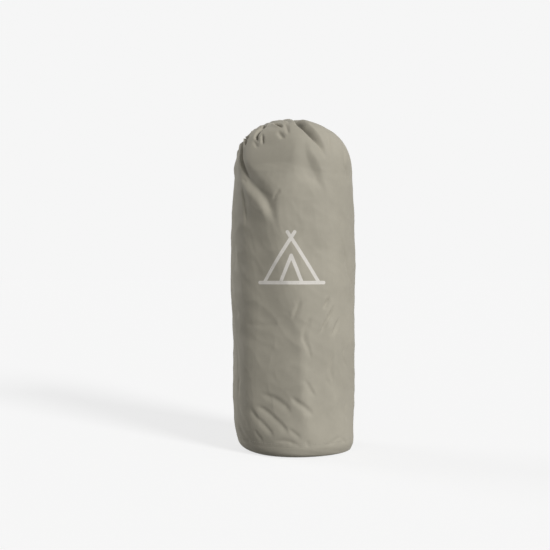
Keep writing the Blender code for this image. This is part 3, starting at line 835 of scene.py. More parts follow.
@dataclass(frozen=True)
class CordFinish:
    """A braided cord."""

    name: str
    colour: Triple
    roughness: float
    strands: float = 8.0
    girth: float = 0.0113
    lay: float = 0.0042
    fleck: Triple | None = None
    yarn_scale: float = 5200.0

    def material(self) -> Material:
        """The cord's material: crossing strands with painted shade between them, and fine yarn in them.

        Returns:
            The material.
        """
        bench = ShaderBench(self.name)
        vector, across, along = bench.cloth_place()
        round_turn = bench.times(across, FULL_TURN * self.strands / self.girth)
        run = bench.times(along, FULL_TURN / self.lay)
        left = bench.math("SINE", bench.math("ADD", round_turn, run))
        right = bench.math("SINE", bench.math("SUBTRACT", round_turn, run))
        crossing = bench.times(left, right)
        braid = bench.math("ABSOLUTE", crossing)
        yarn = bench.noise(vector, self.yarn_scale, 2.0, 0.6)
        # Painted shade: the colour darkens in the grooves between the crossing strands.
        colour = bench.shades(bench.between(braid, 0.0, 0.5), self.colour, 0.45, 1.15)
        colour = bench.blend(bench.between(yarn, 0.4, 0.8, 0.0, 0.35), colour, scaled(self.colour, 1.9))
        if self.fleck:
            colour = bench.blend(bench.between(crossing, 0.72, 0.80), colour, (*self.fleck, 1.0))
        rough = bench.between(yarn, 0.3, 0.7, self.roughness - 0.08, self.roughness + 0.05)
        normal = bench.bump(yarn, 0.00004, Normal=bench.bump(braid, 0.00012))
        return bench.finish(self.colour, colour, rough, normal, Sheen_Weight=0.2, Specular_IOR_Level=0.3)


class Grain(Enum):
    """Which way a metal's drawn lines run on the object."""

    ALONG_X = (0.03, 1.0, 1.0)
    ALONG_Z = (1.0, 1.0, 0.03)


@dataclass(frozen=True)
class MetalFinish:
    """A drawn or anodised metal."""

    name: str
    colour: Triple
    roughness: float
    grain: Grain
    grain_scale: float = 2600.0

    def material(self) -> Material:
        """The metal's material: drawn lines, handling marks and a dulled, uneven surface.

        Returns:
            The material.
        """
        bench = ShaderBench(self.name)
        place = bench.object_place()
        stretched = bench.node("ShaderNodeMapping", Vector=place, Scale=self.grain.value)
        lines = bench.noise(stretched, self.grain_scale, 3.0, 0.6)
        smudge = bench.noise(place, 55.0, 5.0, 0.6)
        colour = bench.shades(bench.between(smudge, 0.3, 0.7), self.colour, 0.90, 1.05)
        colour = bench.blend(bench.between(lines, 0.55, 0.8, 0.0, 0.3), colour, scaled(self.colour, 0.72))
        rough = bench.between(smudge, 0.3, 0.7, self.roughness - 0.06, self.roughness + 0.08)
        rough = bench.math("ADD", rough, bench.between(lines, 0.3, 0.8, 0.0, 0.08))
        return bench.finish(self.colour, colour, rough, bench.bump(lines, 0.00001), Metallic=1.0)


@dataclass(frozen=True)
class PlasticFinish:
    """A moulded plastic."""

    name: str
    colour: Triple
    roughness: float
    grain_height: float = 0.00001

    def material(self) -> Material:
        """The plastic's material: a fine moulded grain, flow marks and light scuffs.

        Returns:
            The material.
        """
        bench = ShaderBench(self.name)
        place = bench.object_place()
        grain = bench.noise(place, 3800.0, 2.0, 0.5)
        flow = bench.noise(place, 240.0, 4.0, 0.6)
        scuff = bench.between(bench.noise(place, 700.0, 6.0, 0.75), 0.60, 0.72)
        colour = bench.shades(flow, self.colour, 0.85, 1.2)
        worn = tuple(min(1.0, part + 0.06) for part in self.colour)
        colour = bench.blend(bench.times(scuff, 0.5), colour, (*worn, 1.0))
        rough = bench.between(flow, 0.3, 0.7, self.roughness - 0.05, self.roughness + 0.05)
        rough = bench.math("ADD", rough, bench.times(scuff, 0.12))
        normal = bench.bump(scuff, 0.00001, Normal=bench.bump(grain, self.grain_height))
        return bench.finish(self.colour, colour, rough, normal, Specular_IOR_Level=0.45)


class Wardrobe:
    """Every material of the object, made once."""

    def __init__(self) -> None:
        """Make them all."""
        taupe, pale, rust = (0.389, 0.363, 0.298), (0.52, 0.50, 0.44), (0.62, 0.27, 0.08)
        mark = PrintMark(across=SackShape.cloth_width * 0.4945, along=0.3580)
        self.sack = ClothFinish("sack_cloth", taupe, 0.66, mark=mark).material()
        self.sack_plain = ClothFinish("sack_cloth_plain", taupe, 0.66).material()
        self.thread = CordFinish("seam_thread", (0.34, 0.32, 0.265), 0.6, 2.0, 0.0016, 0.0007).material()
        self.body_cloth = ClothFinish("tent_body_cloth", pale, 0.66, crease_height=0.0008).material()
        self.fly_cloth = ClothFinish("rainfly_cloth", rust, 0.50, crease_height=0.0008).material()
        self.bag_cloth = ClothFinish("bag_cloth", (0.22, 0.23, 0.22), 0.58, thread_pitch=0.0006).material()
        self.drawcord = CordFinish("drawcord", (0.045, 0.045, 0.045), 0.62).material()
        grey, orange = (0.12, 0.12, 0.12), (0.45, 0.16, 0.05)
        self.shock_cord = CordFinish("shock_cord", grey, 0.70, 6.0, 0.0075, 0.0026, orange).material()
        self.tube = MetalFinish("pole_tube", (0.55, 0.56, 0.58), 0.36, Grain.ALONG_Z).material()
        self.peg = MetalFinish("peg_metal", (0.60, 0.60, 0.62), 0.30, Grain.ALONG_X).material()
        self.steel = MetalFinish("spring_steel", (0.62, 0.62, 0.64), 0.24, Grain.ALONG_X, 4000.0).material()
        self.tip = PlasticFinish("pole_tip", (0.08, 0.08, 0.08), 0.45).material()
        self.lock = PlasticFinish("lock_plastic", (0.03, 0.03, 0.03), 0.38).material()


# The sack's shape


@dataclass(frozen=True)
class SackShape:
    """The sack's smooth outline before its folds: side wall, gathered top and tilted mouth."""

    roll_radius: float = 0.1119
    seam_height: float = 0.0220
    shoulder_height: float = 0.5488
    mouth_rise: float = 0.0830
    mouth_shift: Pair = (-0.050, 0.045)
    mouth_facing: Triple = (-0.35, 0.45, 0.82)
    rim_radius: float = 0.058
    dome_fullness: float = 0.79
    dome_bulge: float = 0.0015
    bulge_facing: float = math.radians(-20)
    cloth_width: float = 0.785
    rises: tuple[float, ...] = (0.0, 0.049, 0.147, 0.375, 0.526, 0.687, 0.837, 0.924, 1.0)
    shifts: tuple[float, ...] = (0.006, 0.0025, 0.0015, 0.0015, -0.0005, -0.0005, -0.001, -0.0005, 0.0005)
    ease_widths: tuple[float, ...] = (0.006, 0.009, 0.012, 0.012, 0.014, 0.016, 0.015, 0.012, 0.009)
    ease_depths: tuple[float, ...] = (0.0, 0.0035, 0.0055, 0.0065, 0.0075, 0.0085, 0.0085, 0.007, 0.0045)

    def mouth_axes(self) -> tuple[Array, Array, Array, Array]:
        """The mouth's middle, the way it faces, its right and its back.

        Returns:
            The point and the three directions.
        """
        facing = unit(np.array(self.mouth_facing))
        right = unit(np.cross([0.0, 1.0, 0.0], facing))
        centre = np.array([*self.mouth_shift, self.shoulder_height + self.mouth_rise])
        return centre, facing, right, np.cross(facing, right)

    def mouth_point(self, angle: Array, radius: Array, rise: Array = 0.0) -> Array:
        """Points of the mouth's own tilted ring.

        Args:
            angle: The angle from the ring's right, past its back.
            radius: How far out from the ring's middle.
            rise: How far out along the way that the mouth faces.

        Returns:
            The points.
        """
        centre, facing, right, back = self.mouth_axes()
        angle, radius, rise = np.broadcast_arrays(angle, radius, rise)
        across = right * np.cos(angle)[..., None] + back * np.sin(angle)[..., None]
        return centre + across * radius[..., None] + facing * rise[..., None]

    def wall(self, angle: Array, rise: Array) -> Array:
        """Points of the upright wall, at a share of the way from the base seam to the shoulder.

        Args:
            angle: The angle round the sack.
            rise: The share of the way.

        Returns:
            The points.
        """
        shift = curve_through(self.rises, self.shifts, rise)
        width = self.roll_radius + curve_through(self.rises, self.ease_widths, rise)
        depth = self.roll_radius + curve_through(self.rises, self.ease_depths, rise)
        height = self.seam_height + rise * (self.shoulder_height - self.seam_height)
        return np.stack([shift + width * np.cos(angle), depth * np.sin(angle), height], axis=-1)

    def dome(self, angle: Array, share: Array) -> Array:
        """Points of the gathered top, at a share of the way from the shoulder to the mouth's rim.

        Args:
            angle: The angle round the sack.
            share: The share of the way.

        Returns:
            The points.
        """
        turn = share * QUARTER_TURN
        across = 1 - np.maximum(np.cos(turn), 0.0) ** self.dome_fullness
        up = np.sin(turn) ** self.dome_fullness
        start = self.wall(angle, np.ones_like(share))
        rim = self.mouth_point(angle, self.rim_radius)
        facing = 0.5 + 0.5 * np.cos(angle - self.bulge_facing)
        blend = np.stack([across, across, up], axis=-1)
        points = start + (rim - start) * blend
        points[..., 2] += self.dome_bulge * 4 * across * (1 - across) * facing
        return points

    def point(self, angle: Array, level: Array) -> Array:
        """Points of the whole panel: level 0 is the base seam, 1 the shoulder and 2 the rim.

        Args:
            angle: The angle round the sack.
            level: The level.

        Returns:
            The points.
        """
        angle, level = np.broadcast_arrays(np.asarray(angle, float), np.asarray(level, float))
        wall = self.wall(angle, np.clip(level, 0.0, 1.0))
        dome = self.dome(angle, np.clip(level - 1.0, 0.0, 1.0))
        return np.where((level > 1.0)[..., None], dome, wall)

    def normal(self, angle: Array, level: Array) -> Array:
        """The directions square to the panel, outwards.

        Args:
            angle: The angle round the sack.
            level: The level.

        Returns:
            The directions.
        """
        step = 0.004
        below, above = (self.point(angle, np.clip(level + move, 0.0, 2.0)) for move in (-step, step))
        around = self.point(angle + step, level) - self.point(angle - step, level)
        return unit(np.cross(around, above - below))


class Side(Enum):
    """The side of a fold on which its wall is steep, seen from outside along its route."""

    LEFT = 1
    RIGHT = -1


@dataclass(frozen=True)
class Fold:
    """A groove in the cloth, steep on one side and gentle on the other."""

    route: tuple[Pair, ...]
    depth: float
    steep: float = 0.0085
    gentle: float = 0.0170
    crest: float = 0.12
    lip: float = 0.04
    fade: Pair = (0.35, 0.35)
    side: Side = Side.LEFT
    crispness: float = 0.7
    edge: float = 0.2

    def line(self, shape: SackShape) -> Array:
        """The fold's route on the sack's smooth outline."""
        corners = np.array(self.route, float)
        return smooth_line(shape.point(np.radians(corners[:, 0]), corners[:, 1]), 0.004)

    def lift(self, shape: SackShape, points: Array, normals: Array) -> Array:
        """How far the fold moves each point along its normal.

        Args:
            shape: The sack's smooth outline.
            points: The points, one to a row.
            normals: The directions square to the cloth there.

        Returns:
            The distances, outwards positive.
        """
        line = self.line(shape)
        reach = max(self.gentle * 2.0, self.steep * 4.5)
        low, high = line.min(axis=0) - reach, line.max(axis=0) + reach
        near = np.flatnonzero(np.all((points > low) & (points < high), axis=1))
        lifts = np.zeros(len(points))
        if not len(near):
            return lifts
        runs = np.diff(line, axis=0)
        lengths = np.linalg.norm(runs, axis=1)
        offsets = points[near][:, None] - line[None, :-1]
        share = np.clip(np.einsum("nmk,mk->nm", offsets, runs) / lengths**2, 0.0, 1.0)
        offsets = offsets - runs[None] * share[..., None]
        gaps = np.linalg.norm(offsets, axis=2)
        best = np.argmin(gaps, axis=1)
        rows = np.arange(len(near))
        distance = gaps[rows, best]
        offset = offsets[rows, best]
        turn = np.einsum("nk,nk->n", np.cross(runs[best], offset), normals[near])
        along = (lengths_along(line)[best] + share[rows, best] * lengths[best]) / lengths.sum()
        signed = np.where(turn * self.side.value > 0, distance, -distance)
        strength = ease(along / self.fade[0]) * ease((1 - along) / self.fade[1])
        lifts[near] = strength * self.depth * self.section(signed / (0.45 + 0.55 * strength))
        return lifts

    def section(self, across: Array) -> Array:
        """The fold's cross-section for a depth of one: steep where the distance is positive.

        Args:
            across: The distance from the valley, positive on the steep side.

        Returns:
            The height there.
        """
        steep = self.flank(np.maximum(across, 0.0) / self.steep, self.crest)
        gentle = self.flank(np.maximum(-across, 0.0) / self.gentle, self.lip)
        return np.where(across > 0, steep, gentle)

    def flank(self, away: Array, crest: float) -> Array:
        """One side of the fold: up from the valley to its crest, and gently down beyond it.

        Args:
            away: The distance from the valley, as a share of the flank's width.
            crest: How high the crest is.

        Returns:
            The height there.
        """
        climbed = np.clip(away, 0.0, 1.0)
        rounded = self.crispness * (1 - (1 - climbed) ** 1.7) + (1 - self.crispness) * ease(climbed)
        climb = self.edge * climbed**1.1 + (1 - self.edge) * rounded
        beyond = np.exp(-((np.maximum(away - 1.0, 0.0) / 1.1) ** 1.6))
        return np.where(away < 1.0, -1.0 + (1.0 + crest) * climb, crest * beyond)


FRONT_FOLDS = (
    # The dark fold on the left, below the gathered top
    Fold(((-148.5, 1.532), (-150, 1.39), (-150, 1.242), (-146.5, 1.106), (-143, 1.028), (-137, 0.984),
         (-131.5, 0.964), (-124, 0.94), (-118, 0.916), (-113.5, 0.892), (-110, 0.858), (-107.5, 0.834),
         (-105.5, 0.814)), 0.006, 0.024, 0.018, crest=0.0, lip=0.42, fade=(0.5, 0.22), crispness=0.35),
    Fold(((-148, 1.654), (-149.5, 1.42), (-149.5, 1.24), (-146.5, 1.098), (-141.5, 1.008), (-135, 0.976)),
         0.0052, 0.0085, 0.006, crest=0.0, lip=0.1, fade=(0.2, 0.4), crispness=0.8),
    Fold(((-147, 0.988), (-143, 0.946), (-140, 0.904), (-138, 0.848), (-137, 0.786)), 0.002, 0.005, 0.015,
         crest=0.3, side=Side.RIGHT),
    Fold(((-146.5, 0.992), (-142.5, 0.98), (-138, 0.962)), 0.0014, 0.003, 0.004, crest=0.4),
    Fold(((-101.5, 0.94), (-105, 0.924), (-109.5, 0.9)), 0.003, 0.005, 0.007, side=Side.RIGHT),
    # The dark fold on the right, and the ones beside it
    Fold(((-38, 2.0), (-47, 1.92), (-55, 1.83), (-61.5, 1.73), (-68, 1.602), (-67, 1.482), (-65, 1.36),
         (-62.5, 1.264), (-61, 1.182), (-58.5, 1.118), (-57.5, 1.064)), 0.0165, 0.014, 0.012, crest=0.08,
         lip=0.02, edge=0.45, fade=(0.36, 0.45), crispness=0.75),
    Fold(((-73.5, 1.5), (-70.5, 1.396), (-67.5, 1.292), (-66.5, 1.24)), 0.002, 0.0045, 0.006,
         crispness=0.9),
    Fold(((-41.5, 1.482), (-49, 1.296), (-52, 1.142), (-53, 1.05)), 0.002, 0.006, 0.008),
    Fold(((-76.5, 1.358), (-78, 1.248), (-78, 1.152), (-74.5, 1.058), (-70.5, 1.004), (-66, 0.968),
         (-61.5, 0.924), (-59, 0.9)), 0.0064, 0.016, 0.036, crest=0.03, lip=0.0, edge=0.5, fade=(0.45, 0.5),
         crispness=0.25),
    Fold(((-27, 1.326), (-32.5, 1.088), (-28, 1.016), (-21, 0.954)), 0.003, 0.01, 0.007, crest=0.1,
         crispness=0.8),
    # The pleats where the gathered top turns away
    Fold(((-92, 2.0), (-97, 1.93), (-105.5, 1.802), (-115.5, 1.708), (-123, 1.582), (-123.5, 1.484),
         (-124, 1.382)), 0.015, 0.0085, 0.0095, crest=0.05, lip=0.05, fade=(0.34, 0.45), crispness=0.8),
    Fold(((-114, 1.596), (-117.5, 1.478), (-119.5, 1.36)), 0.004, 0.005, 0.005, crest=0.1, crispness=0.9),
    Fold(((-112, 2.0), (-117, 1.93), (-119, 1.998), (-132, 1.808), (-135.5, 1.59)), 0.0145, 0.007, 0.0085,
         crest=0.05, fade=(0.34, 0.4), crispness=0.9),
    Fold(((-130, 2.0), (-134, 1.9), (-137, 1.724), (-140, 1.572), (-141, 1.428)), 0.014, 0.0065, 0.008,
         crest=0.05, fade=(0.34, 0.4), crispness=0.9),
    Fold(((-147, 2.0), (-148, 1.88), (-147.5, 1.646), (-148.5, 1.482)), 0.012, 0.006, 0.007, crest=0.1,
         fade=(0.34, 0.35), crispness=0.9),
    Fold(((-90, 1.832), (-92.5, 1.728), (-92, 1.656), (-91, 1.586)), 0.0115, 0.009, 0.004, crest=0.0,
         lip=0.2, fade=(0.3, 0.3), crispness=0.9),
    Fold(((-98.5, 1.548), (-96.5, 1.446), (-94.5, 1.382)), 0.0036, 0.007, 0.008, crispness=0.6),
    Fold(((-81, 1.726), (-87, 1.558), (-89.5, 1.414)), 0.003, 0.006, 0.007),
    Fold(((-62, 2.0), (-68, 1.84), (-86, 1.502)), 0.004, 0.006, 0.008),
    Fold(((-128.5, 1.544), (-127, 1.424), (-125, 1.328)), 0.0028, 0.006, 0.007),
    # Streaks across the middle
    Fold(((-74, 0.486), (-77, 0.456), (-80.5, 0.428), (-81.5, 0.396), (-77.5, 0.348)), 0.0026, 0.006, 0.012,
         crest=0.15, side=Side.RIGHT),
    Fold(((-49.5, 0.524), (-55, 0.484), (-60, 0.452), (-67, 0.404)), 0.0046, 0.0055, 0.01, crest=0.17,
         side=Side.RIGHT, crispness=0.85),
    Fold(((-55.5, 0.55), (-59, 0.524), (-63, 0.5)), 0.0036, 0.005, 0.009, crest=0.15, side=Side.RIGHT),
    Fold(((-42.5, 0.472), (-48, 0.438), (-54.5, 0.4)), 0.0032, 0.006, 0.009, side=Side.RIGHT),
    Fold(((-83.5, 0.54), (-87, 0.504), (-92, 0.464)), 0.0024, 0.006, 0.01, crest=0.17, side=Side.RIGHT),
    Fold(((-147, 0.452), (-126, 0.444), (-106, 0.446), (-93.5, 0.464)), 0.0005, 0.006, 0.012,
         crispness=0.3),
    Fold(((-80, 0.388), (-77, 0.358), (-74.5, 0.318)), 0.0018, 0.005, 0.008),
    Fold(((-32, 0.366), (-37, 0.326), (-25.5, 0.262)), 0.002, 0.005, 0.008, crest=0.2),
    Fold(((-50.5, 0.38), (-53.5, 0.33), (-54.5, 0.272), (-50, 0.196)), 0.0034, 0.008, 0.012,
         side=Side.RIGHT),
    Fold(((-82, 0.254), (-77, 0.224), (-70, 0.18)), 0.002, 0.005, 0.009, crest=0.17, crispness=0.9),
    Fold(((-60, 0.254), (-56, 0.232), (-50, 0.204)), 0.0013, 0.005, 0.008),
    Fold(((-157.5, 0.26), (-151, 0.234), (-155.5, 0.194), (-151, 0.15)), 0.0017, 0.006, 0.009),
    Fold(((-43, 0.774), (-37.5, 0.72), (-30, 0.652), (-24.5, 0.588)), 0.0026, 0.007, 0.012),
    # The slanting folds above the base
    Fold(((-125, 0.196), (-115, 0.184), (-107.5, 0.174), (-101, 0.158), (-96, 0.14), (-92, 0.116)), 0.0024,
         0.0085, 0.014, crest=0.02, lip=0.04, fade=(0.35, 0.3), crispness=0.6),
    Fold(((-94.5, 0.19), (-88.5, 0.17), (-82, 0.152), (-76.5, 0.132), (-71.5, 0.114)), 0.0027, 0.007, 0.012,
         crest=0.03, lip=0.22, fade=(0.3, 0.25), crispness=0.8),
    Fold(((-130, 0.152), (-119, 0.132), (-111, 0.11), (-105, 0.092), (-99.5, 0.07), (-94.5, 0.044)), 0.0024,
         0.008, 0.012, crest=0.03, lip=0.05, fade=(0.25, 0.2), crispness=0.7),
    Fold(((-97, 0.08), (-93.5, 0.064), (-88.5, 0.048), (-83.5, 0.028)), 0.0016, 0.005, 0.009, crest=0.17,
         crispness=0.8),
    Fold(((-136, 0.146), (-128.5, 0.11), (-120, 0.082), (-114, 0.058), (-110, 0.036)), 0.002, 0.0065, 0.01,
         crest=0.03, lip=0.1, fade=(0.35, 0.18), crispness=0.75),
    Fold(((-130.5, 0.062), (-126.5, 0.04), (-121.5, 0.012)), 0.0012, 0.005, 0.008),
    Fold(((-159.5, 0.146), (-152.5, 0.112), (-143.5, 0.08), (-134.5, 0.048)), 0.002, 0.011, 0.011,
         crest=0.03, lip=0.1, crispness=0.5),
    Fold(((-157, 0.084), (-151, 0.046), (-142, 0.012), (-131.5, 0.0)), 0.0017, 0.009, 0.01, crest=0.03,
         crispness=0.5),
    Fold(((-112.5, 0.02), (-102.5, 0.024), (-95.5, 0.02), (-86, 0.004)), 0.0019, 0.007, 0.006, crest=0.05,
         lip=0.3, crispness=0.8),
    Fold(((-80.5, 0.028), (-79, 0.006), (-78, 0.0)), 0.0012, 0.006, 0.01, side=Side.RIGHT),
    Fold(((-66, 0.0), (-56.5, 0.01), (-45, 0.026), (-38, 0.01)), 0.0012, 0.005, 0.006, crest=0.15),
    Fold(((-40.5, 0.024), (-34, 0.0), (-31.5, 0.0)), 0.0013, 0.005, 0.006, crest=0.15),
    # The kinks in the left and right edges
    Fold(((-170, 0.416), (-161, 0.362), (-155, 0.3), (-157, 0.238)), 0.0009, 0.006, 0.01, side=Side.RIGHT),
    Fold(((-29, 0.166), (-34, 0.124), (-25, 0.066)), 0.0011, 0.007, 0.01, side=Side.RIGHT),
)


@dataclass(frozen=True)
class LooseFolds:
    """Seeded folds for the sides and the back, slanting as the front's do."""

    count: int = 38
    seed: int = 41
    first_angle: float = -8.0
    last_angle: float = 196.0
    steps: int = 5
    angle_step: float = 0.618034
    lowest: float = 0.10
    rise: float = 0.86
    crowding: float = 1.25
    jitter: Pair = (0.2, 0.8)
    least_level: float = 0.02
    steep_width: Pair = (5.0, 12.0)
    gentle_width: Pair = (14.0, 30.0)
    steep_drop: Pair = (0.10, 0.20)
    gentle_drop: Pair = (0.02, 0.09)
    bend: Pair = (-0.022, 0.022)
    depth: Pair = (0.0010, 0.0028)
    steep_side: Pair = (0.009, 0.015)
    gentle_side: Pair = (0.016, 0.030)
    crispness: Pair = (0.25, 0.60)
    crest: Pair = (0.05, 0.25)
    right_share: float = 0.25

    def folds(self) -> list[Fold]:
        """Draw the folds.

        Returns:
            The folds.
        """
        draw = np.random.default_rng(self.seed)
        made = []
        for number in range(self.count):
            way_round = (number * self.angle_step) % 1.0
            angle = self.first_angle + (self.last_angle - self.first_angle) * way_round
            rank = (number + draw.uniform(*self.jitter)) / self.count
            height = self.lowest + self.rise * rank**self.crowding
            steep = number % 3 == 1
            width = draw.uniform(*(self.steep_width if steep else self.gentle_width))
            drop = draw.uniform(*(self.steep_drop if steep else self.gentle_drop))
            bend = draw.uniform(*self.bend)
            route = []
            for step in range(self.steps):
                share = step / (self.steps - 1)
                place = height - drop * share + bend * math.sin(math.pi * share)
                route.append((angle + width * share, max(self.least_level, place)))
            made.append(
                Fold(
                    tuple(route),
                    draw.uniform(*self.depth),
                    steep=draw.uniform(*self.steep_side),
                    gentle=draw.uniform(*self.gentle_side),
                    crispness=draw.uniform(*self.crispness),
                    crest=draw.uniform(*self.crest),
                    side=Side.LEFT if draw.uniform() > self.right_share else Side.RIGHT,
                )
            )
        return made


@dataclass(frozen=True)
class Gathers:
    """The valleys that the drawcord pulls into the cloth round the mouth, each its own length."""

    count: int = 23
    depth: float = 0.0125
    out: float = 0.0030
    seed: int = 12
    least_reach: float = 0.032
    most_reach: float = 0.120
    cord_angle: float = 90.0
    cord_room: float = 24.0
    front_angle: float = -95.0
    front_spread: float = 62.0
    front_reach: float = 0.040
    rim_radius: float = 0.058
    out_reach: float = 0.055
    widening: float = 0.085
    spacing: Pair = (0.55, 1.45)
    depth_shares: Pair = (0.55, 1.0)
    reach_power: float = 1.3
    drift: Pair = (-2.2, 2.2)
    width: Pair = (0.0050, 0.0075)
    flare: float = 0.50
    front_shares: Pair = (0.6, 0.8)
    fade: float = 1.4
    roundness: float = 1.5

    def lift(self, angle: Array, below: Array) -> Array:
        """How far the gathers move the cloth.

        Args:
            angle: The angle round the mouth.
            below: How far down from the rim, along the cloth.

        Returns:
            The distances, outwards positive.
        """
        draw = np.random.default_rng(self.seed)
        spacing = np.cumsum(draw.uniform(*self.spacing, self.count))
        centres = FULL_TURN * spacing / spacing[-1]
        depths = self.depth * draw.uniform(*self.depth_shares, self.count)
        reaches = draw.uniform(0.0, 1.0, self.count) ** self.reach_power
        reaches = self.least_reach + (self.most_reach - self.least_reach) * reaches
        drifts = draw.uniform(*self.drift, self.count)
        widths = draw.uniform(*self.width, self.count)
        local = self.rim_radius + self.flare * below
        total = self.out * ease(1 - below / self.out_reach)
        least, more = self.front_shares
        for centre, depth, reach, drift, width in zip(centres, depths, reaches, drifts, widths):
            away = np.angle(np.exp(1j * (angle - centre - drift * below)))
            place = math.degrees(centre)
            room = min(1.0, abs(math.remainder(place - self.cord_angle, 360.0)) / self.cord_room)
            if abs(math.remainder(place - self.front_angle, 360.0)) < self.front_spread:
                reach = self.front_reach * (least + more * reach / self.most_reach)
            spread = width + self.widening * below
            valley = np.clip(1.0 - np.abs(away) * local / spread, 0.0, 1.0)
            fading = np.clip(1.0 - below / reach, 0.0, 1.0) ** self.fade
            total = total - depth * room * fading * valley**self.roundness
        return total


@dataclass(frozen=True)
class Flats:
    """The flat faces in the sack's front: their middles and half widths in degrees, and their levels."""

    edge_levels: tuple[float, ...] = (0.0, 0.16, 0.23, 0.34, 0.53, 0.68, 0.79, 0.90, 1.08, 1.3)
    edge_angles: tuple[float, ...] = (
        -80.0, -81.0, -82.5, -83.0, -86.0, -95.0, -101.0, -105.0, -102.0, -96.0
    )
    left_half: float = 27.0
    left_strength: float = 0.62
    left_blur: float = 2.6
    left_end: float = 0.98
    left_fade: float = 0.26
    right_levels: Pair = (0.50, 0.72)
    right_halves: Pair = (15.5, 23.0)
    right_strength: float = 0.9
    far_half: float = 18.0
    far_strength: float = 0.7
    side_middle: float = -81.0
    side_half: float = 24.0
    side_strength: float = 0.3
    soft_levels: Triple = (0.36, 0.56, 0.80)
    softness: Triple = (1.0, 3.0, 4.5)
    soft_steps: tuple[float, ...] = (-3.0, -1.5, 0.0, 1.5, 3.0)
    scale: float = 1.07
    top_middle: float = -111.0
    top_half: float = 27.0
    top_start: float = 0.94
    top_start_fade: float = 0.16
    top_end: float = 1.62
    top_end_fade: float = 0.30
    top_steps: tuple[float, ...] = (-5.0, -2.5, 0.0, 2.5, 5.0)
    top_radius: float = 0.092
    top_strength: float = 0.75


